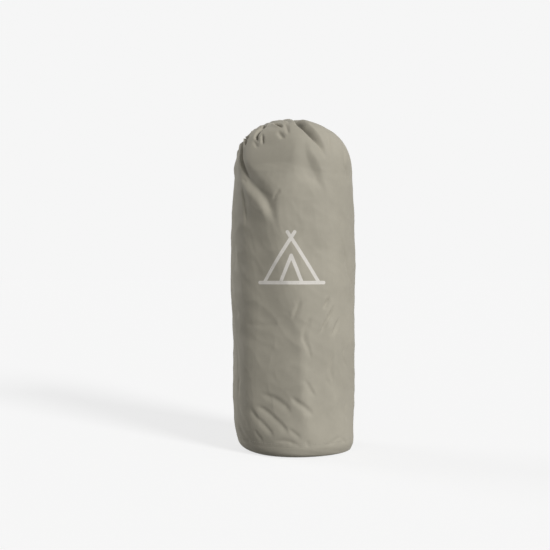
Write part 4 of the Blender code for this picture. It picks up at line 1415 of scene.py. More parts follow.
@dataclass
class SackCloth:
    """The sack's two panels and their seams."""

    shape: SackShape
    columns: int = 320
    rows: int = 233
    cloth: float = 0.0006
    base_cloth: float = 0.0010
    base_columns: int = 192
    base_corner_left: float = 0.0310
    base_corner_right: float = 0.0070
    base_corner_depth: float = 0.0200
    base_flat_share: float = 0.6
    base_half_length: float = 0.1239
    base_reach: float = 0.145
    tuck: float = 0.0020
    deepest: float = 0.0200
    roll_run_in: float = 0.0205
    roll_room: float = 0.0024
    roll_top: float = 0.585
    roll_softness: float = 0.0016
    roll_fade: float = 0.012
    roll_clear: float = 0.03
    shoulder_angle: float = -176.0
    shoulder_spread: float = 26.0
    shoulder_depth: float = 0.0032
    shoulder_level: float = 1.40
    shoulder_height: float = 0.17
    lock_angle: float = 108.0
    lock_spread: float = 30.0
    lock_fade: float = 14.0
    lock_foot: float = 0.515
    lock_foot_fade: float = 0.03
    lock_head: float = 0.640
    lock_head_fade: float = 0.02
    lock_keep: float = 0.6
    seam_relief: float = 0.0002
    hem_height: float = 0.0022
    hem_width: float = 0.0024
    dip_height: float = 0.0045
    dip_width: float = 0.0014
    puckers: int = 58
    pucker_drift: float = 1.3
    pucker_reach: Pair = (0.018, 0.010)
    pucker_shares: Pair = (0.6, 0.4)
    pucker_start: float = 0.004
    tuck_length: float = 0.008
    tuck_in: float = 0.0030
    tuck_down: float = 0.0038
    swells: tuple[tuple[float, ...], ...] = (
        (0.0016, 7, 5, 3, 0.12), (0.0007, 17, 18, 7, 0.35), (0.0003, 61, 90, 37, 0.8)
    )
    ridges: tuple[tuple[float, ...], ...] = ((0.0007, 26, 30, 19, 0.55), (0.0005, 43, 52, 61, 0.9))
    gathers: Gathers = field(default_factory=Gathers)
    flats: Flats = Flats()

    def __post_init__(self) -> None:
        """Lay out the grid of the side panel and fold it."""
        self.angles = QUARTER_TURN + turn_angles(self.columns)
        self.levels, self.along = self.even_levels()
        self.angle, self.level = np.meshgrid(self.angles, self.levels)
        self.above = np.interp(self.level, self.levels, self.along)
        self.below = self.along[-1] - self.above
        self.smooth = self.shape.point(self.angle, self.level)
        self.normals = self.shape.normal(self.angle, self.level)
        self.creased = self.folded()
        self.lifts = self.cloth_lift()
        tucked_in = self.tuck_under_casing()
        self.lining_base = self.smooth + tucked_in
        self.outer = self.smooth + self.normals * self.lifts[..., None] + tucked_in

    def even_levels(self) -> tuple[Array, Array]:
        """The levels of the rows, closer together in the gathered top and above the base.

        Returns:
            The levels, and how far up the cloth each one lies.
        """
        fine = np.linspace(0.0, 2.0, 1601)
        points = self.shape.point(*np.meshgrid(turn_angles(24), fine))
        steps = np.linalg.norm(np.diff(points, axis=0), axis=2).mean(axis=1)
        middle = (fine[:-1] + fine[1:]) / 2
        weight = np.where(middle > 0.97, 1.75, np.where(middle < 0.22, 1.15, 1.0))
        counted = running_sum(steps * weight)
        levels = np.interp(np.linspace(0.0, counted[-1], self.rows), counted, fine)
        return levels, np.interp(levels, fine, running_sum(steps))

    def folded(self) -> Array:
        """How far the folds and the gathers move the cloth.

        Returns:
            The distances, outwards positive.
        """
        flat, flat_normals = self.smooth.reshape(-1, 3), self.normals.reshape(-1, 3)
        total = np.zeros(self.angle.shape)
        for crease in (*FRONT_FOLDS, *LooseFolds().folds()):
            total += crease.lift(self.shape, flat, flat_normals).reshape(total.shape)
        total += self.gathers.lift(self.angle, self.below)
        total *= 0.08 + 0.92 * ease(self.below / 0.014)
        return np.where(total < 0, -self.deepest * np.tanh(-total / self.deepest), total)

    def cloth_lift(self) -> Array:
        """How far the finished cloth stands off the smooth outline.

        Returns:
            The distances, outwards positive.
        """
        turns, rise = (self.angle - QUARTER_TURN) / FULL_TURN, self.level / 2
        wall = ease(self.level / 0.14) * ease((1.16 - self.level) / 0.22)
        total = self.creased + wall * self.flat_sides()
        total += self.flat_top()
        total += self.left_shoulder()
        for height, *pattern in self.swells:
            total += wall * height * wander(turns, rise, *pattern)
        for height, *pattern in self.ridges:
            total += wall * height * (1.0 - np.abs(wander(turns, rise, *pattern))) ** 4
        total += self.base_puckers(turns)
        return self.room_for_lock(self.room_for_roll(total))

    def tuck_under_casing(self) -> Array:
        """How far the cloth's last few millimetres turn in and down, under the casing that hems it.

        Returns:
            The moves.
        """
        away = np.abs(degrees_past(self.angle, 90.0))
        bent = ease(1 - self.below / self.tuck_length) * ease((away - 10.0) / 5.0)
        _, facing, right, back = self.shape.mouth_axes()
        outward = right * np.cos(self.angle)[..., None] + back * np.sin(self.angle)[..., None]
        return -outward * (self.tuck_in * bent)[..., None] - facing * (self.tuck_down * bent**2)[..., None]

    def left_shoulder(self) -> Array:
        """Draw the left shoulder in below the mouth."""
        near = bell(degrees_past(self.angle, self.shoulder_angle), self.shoulder_spread)
        return -self.shoulder_depth * near * bell(self.level - self.shoulder_level, self.shoulder_height)

    def room_for_roll(self, lift: Array) -> Array:
        """Keep the cloth outside the rolled tent, whose outer turn runs in as it goes round.

        Args:
            lift: How far the cloth stands off the smooth outline.

        Returns:
            The distances with room for the roll.
        """
        past = np.mod(QUARTER_TURN - self.angle, FULL_TURN) / FULL_TURN
        roll = self.shape.roll_radius - self.roll_run_in * past + self.roll_room
        least = roll - np.hypot(self.smooth[..., 0], self.smooth[..., 1])
        beside = ease((self.roll_top - self.smooth[..., 2]) / self.roll_fade)
        least = least * beside - self.roll_clear * (1 - beside)
        return least + self.roll_softness * np.logaddexp(0.0, (lift - least) / self.roll_softness)

    def flat_sides(self) -> Array:
        """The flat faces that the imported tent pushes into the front, with soft edges between them.

        Returns:
            The distances, outwards positive.
        """
        level, flats = self.level, self.flats
        away = degrees_past(self.angle, np.interp(level, flats.edge_levels, flats.edge_angles))
        left = flats.left_strength * ease((flats.left_end - level) / flats.left_fade)
        half_right = np.interp(level, flats.right_levels, flats.right_halves)
        faces = (
            (-flats.left_half, flats.left_half, left, flats.left_blur),
            (half_right, half_right, flats.right_strength, 0.0),
            (2 * half_right + flats.far_half, flats.far_half, flats.far_strength, 0.0),
            (flats.side_middle, flats.side_half, flats.side_strength, 0.0),
        )
        softness = np.interp(level, flats.soft_levels, flats.softness)
        scale, count = flats.scale, len(flats.soft_steps)
        total = np.zeros(level.shape)
        for shift in softness * np.array(flats.soft_steps)[:, None, None]:
            for middle, half, strength, blur in faces:
                wider = 1.0 + blur * ease((middle - away) / half)
                off = np.clip(away + shift * wider - middle, -half, half)
                chord = np.cos(np.radians(half)) / np.cos(np.radians(off)) - 1
                total += strength * self.shape.roll_radius * scale * chord / count
        return total

    def flat_top(self) -> Array:
        """The flat face in the front of the gathered top, beside the dark fold on the left.

        Returns:
            The distances, outwards positive.
        """
        flats, half = self.flats, self.flats.top_half
        off = degrees_past(self.angle, flats.top_middle)
        reach = ease((self.level - flats.top_start) / flats.top_start_fade)
        reach = reach * ease((flats.top_end - self.level) / flats.top_end_fade)
        total = np.zeros(off.shape)
        for shift in flats.top_steps:
            near = np.radians(np.clip(off + shift, -half, half))
            chord = math.cos(math.radians(half)) / np.cos(near) - 1
            total += flats.top_radius * chord / len(flats.top_steps)
        return flats.top_strength * reach * total

    def base_puckers(self, turns: Array) -> Array:
        """The turned-in hem at the base seam and the small puckers that its stitches draw.

        Args:
            turns: How far round each point is, as a share of the full turn.

        Returns:
            The distances, outwards positive.
        """
        above, relief = self.above, self.seam_relief
        hem = relief * bell(above - self.hem_height, self.hem_width)
        dip = -relief * bell(above - self.dip_height, self.dip_width)
        patterns = ((31, 1, 23), (9, 1, 29), (23, 1, 31))
        uneven, drift, length = (wander(turns, turns * 0.0, *pattern) for pattern in patterns)
        ripple = np.sin(FULL_TURN * (self.puckers * turns + self.pucker_drift * drift))
        (least, more), (base, extra) = self.pucker_reach, self.pucker_shares
        reach = ease(1 - above / (least + more * length))
        start = ease(above / self.pucker_start)
        return hem + dip + relief * ripple * (base + extra * uneven) * reach * start

    def room_for_lock(self, lift: Array) -> Array:
        """Hold the cloth back where the lock and the cord's ends hang against it.

        Args:
            lift: How far the cloth stands off the smooth outline.

        Returns:
            The distances with room for the lock.
        """
        away = np.abs(degrees_past(self.angle, self.lock_angle))
        near = ease((self.lock_spread - away) / self.lock_fade)
        height = self.smooth[..., 2]
        foot = ease((height - self.lock_foot) / self.lock_foot_fade)
        hold = near * (foot * ease((self.lock_head - height) / self.lock_head_fade))
        return lift * (1 - hold) + hold * np.minimum(lift, 0.0) * self.lock_keep

    def inner_lifts(self) -> Array:
        """The lining's distances: the lowest of each point's neighbours, less the cloth's thickness.

        Returns:
            The distances, outwards positive.
        """
        lowest = self.lifts.copy()
        for shift in (-1, 1):
            lowest = np.minimum(lowest, np.roll(self.lifts, shift, axis=1))
        stacked = lowest.copy()
        stacked[1:] = np.minimum(stacked[1:], lowest[:-1])
        stacked[:-1] = np.minimum(stacked[:-1], lowest[1:])
        return stacked - self.cloth

    def side_panel(self) -> Mesh:
        """The side panel: a fine outer face, a lining at half its detail, and both hems closed.

        Returns:
            The mesh.
        """
        weaver = Weaver("sack_side_panel")
        # Painted shade: the cloth's material darkens the folds' valleys by this depth.
        hollow = np.clip((-self.creased - 0.0020) / 0.0100, 0.0, 1.0)
        u = self.shape.cloth_width * np.arange(self.columns + 1) / self.columns
        outer = weaver.add_points(self.outer, hollow)
        weaver.join(outer, u, self.along)
        lining = self.lining_base + self.normals * self.inner_lifts()[..., None]
        inner = weaver.add_points(lining[::2, ::2])
        weaver.join(inner, u[::2], self.along[::2], -1)
        for row, order in ((0, 1), (-1, -1)):
            for i in range(0, self.columns, 2):
                rim = [outer[row][(i + step) % self.columns] for step in (2, 1, 0)]
                lining_pair = (inner[row][i // 2], inner[row][(i // 2 + 1) % len(inner[row])])
                weaver.add_face((*lining_pair, *rim)[::order], [(u[i], self.along[row])] * 5)
        return weaver.finish(70.0)

    def base_point(self, angle: Array, share: Array, inset: float) -> Array:
        """Points of the base: share 0 is its middle, 0.6 the edge of its flat part and 1 the seam.

        Args:
            angle: The angle of each point.
            share: How far out it is.
            inset: How far in from the outer face, for the lining.

        Returns:
            The points.
        """
        seam = self.shape.wall(angle, np.zeros_like(share))
        edge = self.base_flat_share
        turn = np.clip((share - edge) / 0.4, 0.0, 1.0) * QUARTER_TURN
        leaning = 0.5 - 0.5 * seam[..., 0] / self.base_half_length
        corner = self.base_corner_right + (self.base_corner_left - self.base_corner_right) * leaning
        drawn_in = (1 - np.sin(turn)) / self.shape.roll_radius
        flat = np.clip(share / edge, 0.0, 1.0)
        x = seam[..., 0] * (1 - corner * drawn_in) * flat
        y = seam[..., 1] * (1 - self.base_corner_depth * drawn_in) * flat
        z = (self.shape.seam_height + self.tuck) * (1 - np.cos(turn))
        turns = (angle - QUARTER_TURN) / FULL_TURN
        curl = ease((share - 0.62) / 0.2) * ease((1.0 - share) / 0.26)
        slack = 0.0014 * wander(turns, share, 29, 4, 71, 0.5) + 0.0026 * wander(turns, share, 13, 3, 73, 0.4)
        hem = -0.0002 * ease((share - 0.95) / 0.04)
        follow = np.interp(angle, self.angles, self.lifts[0], period=FULL_TURN)
        hem = hem + follow * ease((share - edge) / 0.4)
        bend = np.sin(turn)
        out = curl * (slack - 0.0006) + hem * (share > edge)
        x = x + np.cos(angle) * (out - inset) * bend
        y = y + np.sin(angle) * (out - inset) * bend
        under = 0.0007 * np.maximum(0.0, wander(turns, share, 9, 7, 79)) * ease((0.66 - share) / 0.1)
        z = z + np.maximum(0.0, -out) * (1 - bend) + inset * (1 - bend) + under
        return np.stack([x, y, z], axis=-1)

    def base_panel(self) -> Mesh:
        """The round base, flat underneath and curled up to its seam.

        Returns:
            The mesh.
        """
        weaver = Weaver("sack_base_panel")
        angles = QUARTER_TURN + turn_angles(self.base_columns)
        stretches = ((0.03, 0.58, 17), (0.60, 0.95, 26), (0.958, 1.0, 7))
        shares = np.concatenate([np.linspace(*stretch) for stretch in stretches])
        angle, share = np.meshgrid(angles, shares)
        u = self.shape.cloth_width * np.arange(self.base_columns + 1) / self.base_columns
        v = -self.base_reach + self.base_reach * shares
        outer = self.base_point(angle, share, 0.0)
        outer[..., 2] = np.maximum(outer[..., 2], 0.0)
        skins = [weaver.add_points(outer), weaver.add_points(self.base_point(angle, share, self.base_cloth))]
        middles = [(0.0, 0.0, 0.0), (0.0, 0.0, self.base_cloth)]
        weaver.pouch(skins, middles, u, v, fan_u=u, fan_v=(v[0], -self.base_reach))
        return weaver.finish(50.0)

    def seam_line(self, rows: Array, columns: Array) -> Array:
        """The points of the finished cloth at some rows and columns, a tenth of a millimetre off it."""
        return self.outer[rows, columns] + self.normals[rows, columns] * 0.0001

    def build(self, wardrobe: Wardrobe) -> None:
        """Make the panels and their stitches.

        Args:
            wardrobe: The materials.
        """
        printed, plain = wardrobe.sack, wardrobe.sack_plain
        side = finished_piece("side_panel", self.side_panel(), printed, "sack_cloth", "sack_side_panel")
        base = finished_piece("base_panel", self.base_panel(), plain, "sack_cloth", "sack_base_panel")
        thread = StitchRow(pitch=0.0030, length=0.0023, thread=0.00032)
        hem_row = int(np.argmin(np.abs(self.along - 0.0045)))
        seam = self.seam_line(hem_row, np.arange(self.columns + 1) % self.columns)
        base_stitches = thread.build("base_seam_stitches", [seam], wardrobe.thread)
        back_rows = np.arange(14, self.rows - 16)
        back_seams = [self.seam_line(back_rows, column) for column in (-1, 2)]
        back_stitches = thread.build("back_seam_stitches", back_seams, wardrobe.thread)


class Growth(Bench):
    """A bench for a Geometry Nodes tree that grows a piece, with the piece's sizes as named inputs."""

    def __init__(self, name: str, material: Material, **sizes: float) -> None:
        """Start the tree with an input for each size.

        Args:
            name: The tree's name.
            material: What the piece is made of.
            sizes: The sizes, by name, with _ for a space.
        """
        super().__init__(bpy.data.node_groups.new(name, "GeometryNodeTree"))
        self.material = material
        self.sizes = {key.replace("_", " "): value for key, value in sizes.items()}
        face = self.tree.interface
        face.new_socket("Geometry", in_out="INPUT", socket_type="NodeSocketGeometry")
        for key, value in self.sizes.items():
            kind = "NodeSocketInt" if isinstance(value, int) else "NodeSocketFloat"
            face.new_socket(key, in_out="INPUT", socket_type=kind)
        face.new_socket("Geometry", in_out="OUTPUT", socket_type="NodeSocketGeometry")
        self.inputs = self.node("NodeGroupInput").outputs

    def beads(self, points: Node, segments: int, rings: int, **turn: Socket) -> Node:
        """Lay a rounded bead, as thick and long as the inputs Radius and Length say, at each point.

        Args:
            points: The node that gives the points.
            segments: How many faces a bead has round it.
            rings: How many it has along it.
            turn: The beads' Rotation.

        Returns:
            The node that gives the beads.
        """
        radius, half = self.inputs["Radius"], self.times(self.inputs["Length"], 0.5)
        ball = self.node("GeometryNodeMeshUVSphere", Segments=segments, Rings=rings, Radius=1.0)
        scale = self.node("ShaderNodeCombineXYZ", X=radius, Y=radius, Z=half)
        bead = self.node("GeometryNodeTransform", Geometry=ball, Scale=scale)
        return self.node("GeometryNodeInstanceOnPoints", Points=points, Instance=bead, **turn)

    def grow(self, seed: Mesh, result: Node) -> Mesh:
        """Finish the tree, raised by its Level where it has one, and run it.

        Args:
            seed: The mesh that the tree starts from.
            result: The node that gives the piece.

        Returns:
            The piece, as a plain mesh.
        """
        whole = self.node("GeometryNodeRealizeInstances", Geometry=result)
        if "Level" in self.sizes:
            lift = self.node("ShaderNodeCombineXYZ", Z=self.inputs["Level"])
            whole = self.node("GeometryNodeTransform", Geometry=whole, Translation=lift)
        smooth = self.node("GeometryNodeSetShadeSmooth", Geometry=whole)
        dressed = self.node("GeometryNodeSetMaterial", Geometry=smooth, Material=self.material)
        self.node("NodeGroupOutput", Geometry=dressed)
        bench = placed(seed.name, seed)
        modifier = bench.modifiers.new("growth", "NODES")
        modifier.node_group = self.tree
        for socket in self.tree.interface.items_tree:
            if socket.in_out == "INPUT" and socket.name in self.sizes:
                modifier[socket.identifier] = self.sizes[socket.name]
        mesh = plain_mesh(bench)
        bench.modifiers.clear()
        bpy.data.objects.remove(bench, do_unlink=True)
        return mesh


@dataclass(frozen=True)
class StitchRow:
    """A row of lock stitches along a line."""

    pitch: float
    length: float
    thread: float

    def build(self, name: str, lines: Sequence[Array], material: Material) -> bpy.types.Object:
        """Sew along some lines.

        Args:
            name: The piece's name.
            lines: The lines.
            material: The thread's material.

        Returns:
            The stitches, as one piece.
        """
        path = bpy.data.meshes.new(name + "_path")
        edges, start = [], 0
        for line in lines:
            edges += [(start + i, start + i + 1) for i in range(len(line) - 1)]
            start += len(line)
        path.from_pydata(np.vstack(lines).tolist(), edges, [])
        growth = Growth("stitch_row", material, Pitch=self.pitch, Length=self.length, Radius=self.thread)
        curve = growth.node("GeometryNodeMeshToCurve", Mesh=growth.inputs["Geometry"])
        by_length, pitch = {"mode": "LENGTH"}, growth.inputs["Pitch"]
        spots = growth.node("GeometryNodeCurveToPoints", by_length, Curve=curve, Length=pitch)
        mesh = growth.grow(path, growth.beads(spots, 6, 6, Rotation=spots.outputs["Rotation"]))
        add_tube_places(mesh)
        return finished_piece(name, mesh, material, "sack_cloth")


def add_tube_places(mesh: Mesh) -> None:
    """Give a mesh without one a UV map in metres, taken from its own points.

    Args:
        mesh: The mesh.
    """
    for layer in list(mesh.uv_layers):
        mesh.uv_layers.remove(layer)
    layer = mesh.uv_layers.new(name=UV_NAME)
    points = np.zeros(len(mesh.vertices) * 3, np.float32)
    mesh.vertices.foreach_get("co", points)
    points = points.reshape(-1, 3)
    corners = np.zeros(len(mesh.loops), np.int32)
    mesh.loops.foreach_get("vertex_index", corners)
    flat = np.stack([points[:, 0] + points[:, 1], points[:, 2] + points[:, 1] * 0.5], axis=1)[corners]
    layer.data.foreach_set("uv", flat.astype(np.float32).reshape(-1))


# The mouth and its cord


@dataclass(frozen=True)
class CordRoute:
    """The drawcord's way: up through the lock, round the casing and down through the lock again."""

    shape: SackShape
    ring_radius: float = 0.0515
    opening: float = 0.0200
    radius: float = 0.0018
    lane_spacing: float = 0.0020
    ring_steps: int = 36
    lock: Triple = (-0.03974, 0.12105, 0.58176)
    lock_radius: float = 0.0085
    below_lock: float = 0.004
    into_knot: float = 0.0045
    spacing: float = 0.00062
    out_shares: Pair = (0.93, 0.55)
    over_rim: Pair = (0.0010, 0.0012)
    past_rim: Triple = (0.0036, 0.50, 0.0005)
    falling: Triple = (0.0018, 0.0032, 0.0070)
    above_lock: float = 0.0015
    knot_shift: float = 0.0004

    def half_open(self) -> float:
        """Half of the casing's open stretch, as an angle."""
        return self.opening / 2 / self.ring_radius

    def ring_angles(self, steps: int) -> Array:
        """Angles from one end of the casing round to the other."""
        half = self.half_open()
        return QUARTER_TURN + half + (FULL_TURN - 2 * half) * np.arange(steps + 1) / steps

    def end(self, side: int) -> Array:
        """One cord end's knots, from the casing down through the lock and into the knot.

        Args:
            side: -1 for the left end, 1 for the right one.

        Returns:
            The knots of its line.
        """
        turn, (x, y, z) = side * self.half_open(), self.lock
        lane = y - side * self.lane_spacing
        rim_radius = self.shape.rim_radius
        rim = self.shape.mouth_point(QUARTER_TURN, rim_radius)
        (start, crossing), (inset, rise) = self.out_shares, self.over_rim
        first = self.shape.mouth_point(QUARTER_TURN - start * turn, self.ring_radius)
        over = self.shape.mouth_point(QUARTER_TURN - crossing * turn, rim_radius - inset, self.radius + rise)
        foot = z - self.lock_radius - self.below_lock
        apart, share, drop = self.past_rim
        nearer, inwards, fall = self.falling
        shift = side * self.knot_shift
        hanging = [
            (rim[0] + side * apart, rim[1] + share * (lane - rim[1]), rim[2] - drop),
            (rim[0] + side * nearer, lane - inwards, rim[2] - fall),
            (x, lane, z + self.lock_radius + self.above_lock),
            (x, lane, foot),
            (x + shift, lane + shift, foot - self.into_knot),
        ]
        return np.array([first, over, *hanging])

    def line(self) -> Array:
        """The whole cord's middle line."""
        ring = self.shape.mouth_point(self.ring_angles(self.ring_steps)[1:-1], self.ring_radius)
        return smooth_line(np.vstack([self.end(-1)[::-1], ring, self.end(1)]), self.spacing)


@dataclass(frozen=True)
class Braid:
    """The relief of a braided cord's crossing strands."""

    radius: float
    strands: int = 5
    lay: float = 0.0052
    relief: float = 0.055

    def reach(self, angle: Array, along: Array) -> Array:
        """The cord's radius at an angle round it and a length along it.

        Args:
            angle: The angle.
            along: The length along the cord.

        Returns:
            The radius.
        """
        run = FULL_TURN * along / self.lay
        crossing = np.sin(self.strands * angle + run) * np.sin(self.strands * angle - run)
        return self.radius * (1.0 - self.relief * 0.5 + self.relief * crossing)


@dataclass
class Closure:
    """The casing round the mouth, and the drawcord with its knot."""

    shape: SackShape
    gathers: Gathers
    route: CordRoute
    casing_radius: float = 0.0046
    casing_pucker: float = 0.0011
    casing_bore: float = 0.00245
    casing_steps: int = 396
    casing_sides: int = 28
    casing_slack: float = 1.9
    seam_turn: float = -38.0
    seam_dent: float = 0.0005
    cord_sides: int = 26
    knot_radius: float = 0.0050
    knot_throw: float = 0.0023
    knot_steps: int = 168
    tail_length: float = 0.0105

    def casing(self) -> Mesh:
        """The hem tube, puckered where the cloth's valleys run into it.

        Returns:
            The mesh.
        """
        weaver = Weaver("mouth_casing")
        angles = self.route.ring_angles(self.casing_steps)
        turns = angles / FULL_TURN
        around = turn_angles(self.casing_sides)
        valley = self.gathers.lift(angles, np.zeros_like(angles)) - self.gathers.out
        pucker = np.clip(1.0 + valley / self.gathers.depth, 0.0, 1.0)[:, None] ** 0.7
        fine = wander(turns, turns * 0.0, 67, 1, 53)[:, None]
        skew = wander(turns, turns * 0.0, 41, 1, 59)[:, None]
        lean = 0.75 + 0.25 * np.cos(around - 0.9 * skew)
        stitched = bell(np.angle(np.exp(1j * (around - math.radians(self.seam_turn)))), 0.20)
        bulge = self.casing_pucker * (pucker * lean + 0.28 * fine)
        radius = self.casing_radius - 0.0003 + bulge - self.seam_dent * stitched
        # Painted shade, stored as the fold depth: darker in the pucker valleys and along the stitched dent.
        painted_casing_shade = 0.5 * (1 - pucker) + 0.5 * stitched
        sway = 0.0006 * valley / self.gathers.depth
        outer = self.section(angles, radius, around, sway)
        inner = self.section(angles, np.full_like(radius, self.casing_bore), around, sway * 0.0)
        rings = weaver.add_points(outer, painted_casing_shade)
        bore = weaver.add_points(inner)
        length = self.route.ring_radius * (angles - angles[0]) * self.casing_slack
        u = FULL_TURN * self.casing_radius * np.arange(self.casing_sides + 1) / self.casing_sides
        weaver.join(rings, u, length, -1)
        weaver.join(bore, u, length)
        for row, order in ((0, 1), (-1, -1)):
            weaver.join(np.stack([rings[row], bore[row]]), u, np.array([0.0, 0.002]), order)
        return weaver.finish(75.0)

    def section(self, angles: Array, radius: Array, around: Array, sway: Array) -> Array:
        """The casing's rings of points.

        Args:
            angles: The angle round the mouth of each ring.
            radius: The radius of each point of each ring.
            around: The angle of each point round the casing's middle.
            sway: How far each ring lies above the mouth's own plane.

        Returns:
            The points.
        """
        out = self.route.ring_radius + radius * np.cos(around)
        return self.shape.mouth_point(angles[:, None], out, radius * np.sin(around) + sway[:, None])

    def casing_seam(self) -> Array:
        """The line of the stitches that close the casing, on its outer side below its crest.

        Returns:
            The line's points.
        """
        angles = self.route.ring_angles(self.casing_steps)
        turn, reach = math.radians(self.seam_turn), self.casing_radius + 0.0001
        out, rise = self.route.ring_radius + reach * math.cos(turn), reach * math.sin(turn)
        return self.shape.mouth_point(angles, out, rise)

    def knot(self) -> Mesh:
        """The overhand knot below the lock, with the cord's two short sealed tails.

        Returns:
            The mesh.
        """
        weaver = Weaver("drawcord_knot")
        radius = self.route.radius
        foot = np.array(self.route.lock) - [0.0, 0.0, self.route.lock_radius + self.route.below_lock]
        centre = foot - [0.0, 0.0, 0.0003 + radius + self.knot_throw + self.knot_radius]
        t = turn_angles(self.knot_steps)
        reach = self.knot_radius + self.knot_throw * np.cos(3 * t)
        line = (reach * np.sin(2 * t), self.knot_throw * np.sin(3 * t), reach * np.cos(2 * t))
        weaver.tube(centre + np.stack(line, axis=1), Braid(radius).reach, self.cord_sides, closed=True)
        braid = Braid(radius * 0.97)

        def tapered(angle: Array, along: Array) -> Array:
            """The tail's radius: a braid that runs out into a smooth melted end."""
            left = np.clip((along[-1] - along) / 0.0016, 0.0, 1.0)
            return braid.reach(angle, along) * (0.55 + 0.45 * np.sqrt(left))

        for side in (-1, 1):
            top = centre + [side * 0.0034, side * 0.0012, -self.knot_radius * 0.55]
            steps = [
                (0.0, 0.0, 0.0),
                (side * 0.0008, 0.0004, -0.0045),
                (side * 0.0020, 0.0006, -0.0078),
                (side * 0.0026 + 0.0006, -0.0003, -0.0040 - self.tail_length),
            ]
            weaver.tube(smooth_line(top + steps, 0.0006), tapered, self.cord_sides)
        return weaver.finish(80.0)

    def build(self, wardrobe: Wardrobe) -> None:
        """Make the casing, its stitches, the cord and the knot.

        Args:
            wardrobe: The materials.
        """
        finished_piece("casing", self.casing(), wardrobe.sack_plain, "sack_cloth", "mouth_casing")
        thread = StitchRow(pitch=0.0030, length=0.0022, thread=0.00028)
        thread.build("casing_stitches", [self.casing_seam()], wardrobe.thread)
        cord = Weaver("drawcord")
        cord.tube(self.route.line(), Braid(self.route.radius).reach, self.cord_sides)
        finished_piece("cord", cord.finish(80.0), wardrobe.drawcord, "drawcord", "drawcord")
        finished_piece("cord_knot", self.knot(), wardrobe.drawcord, "drawcord", "drawcord_knot")


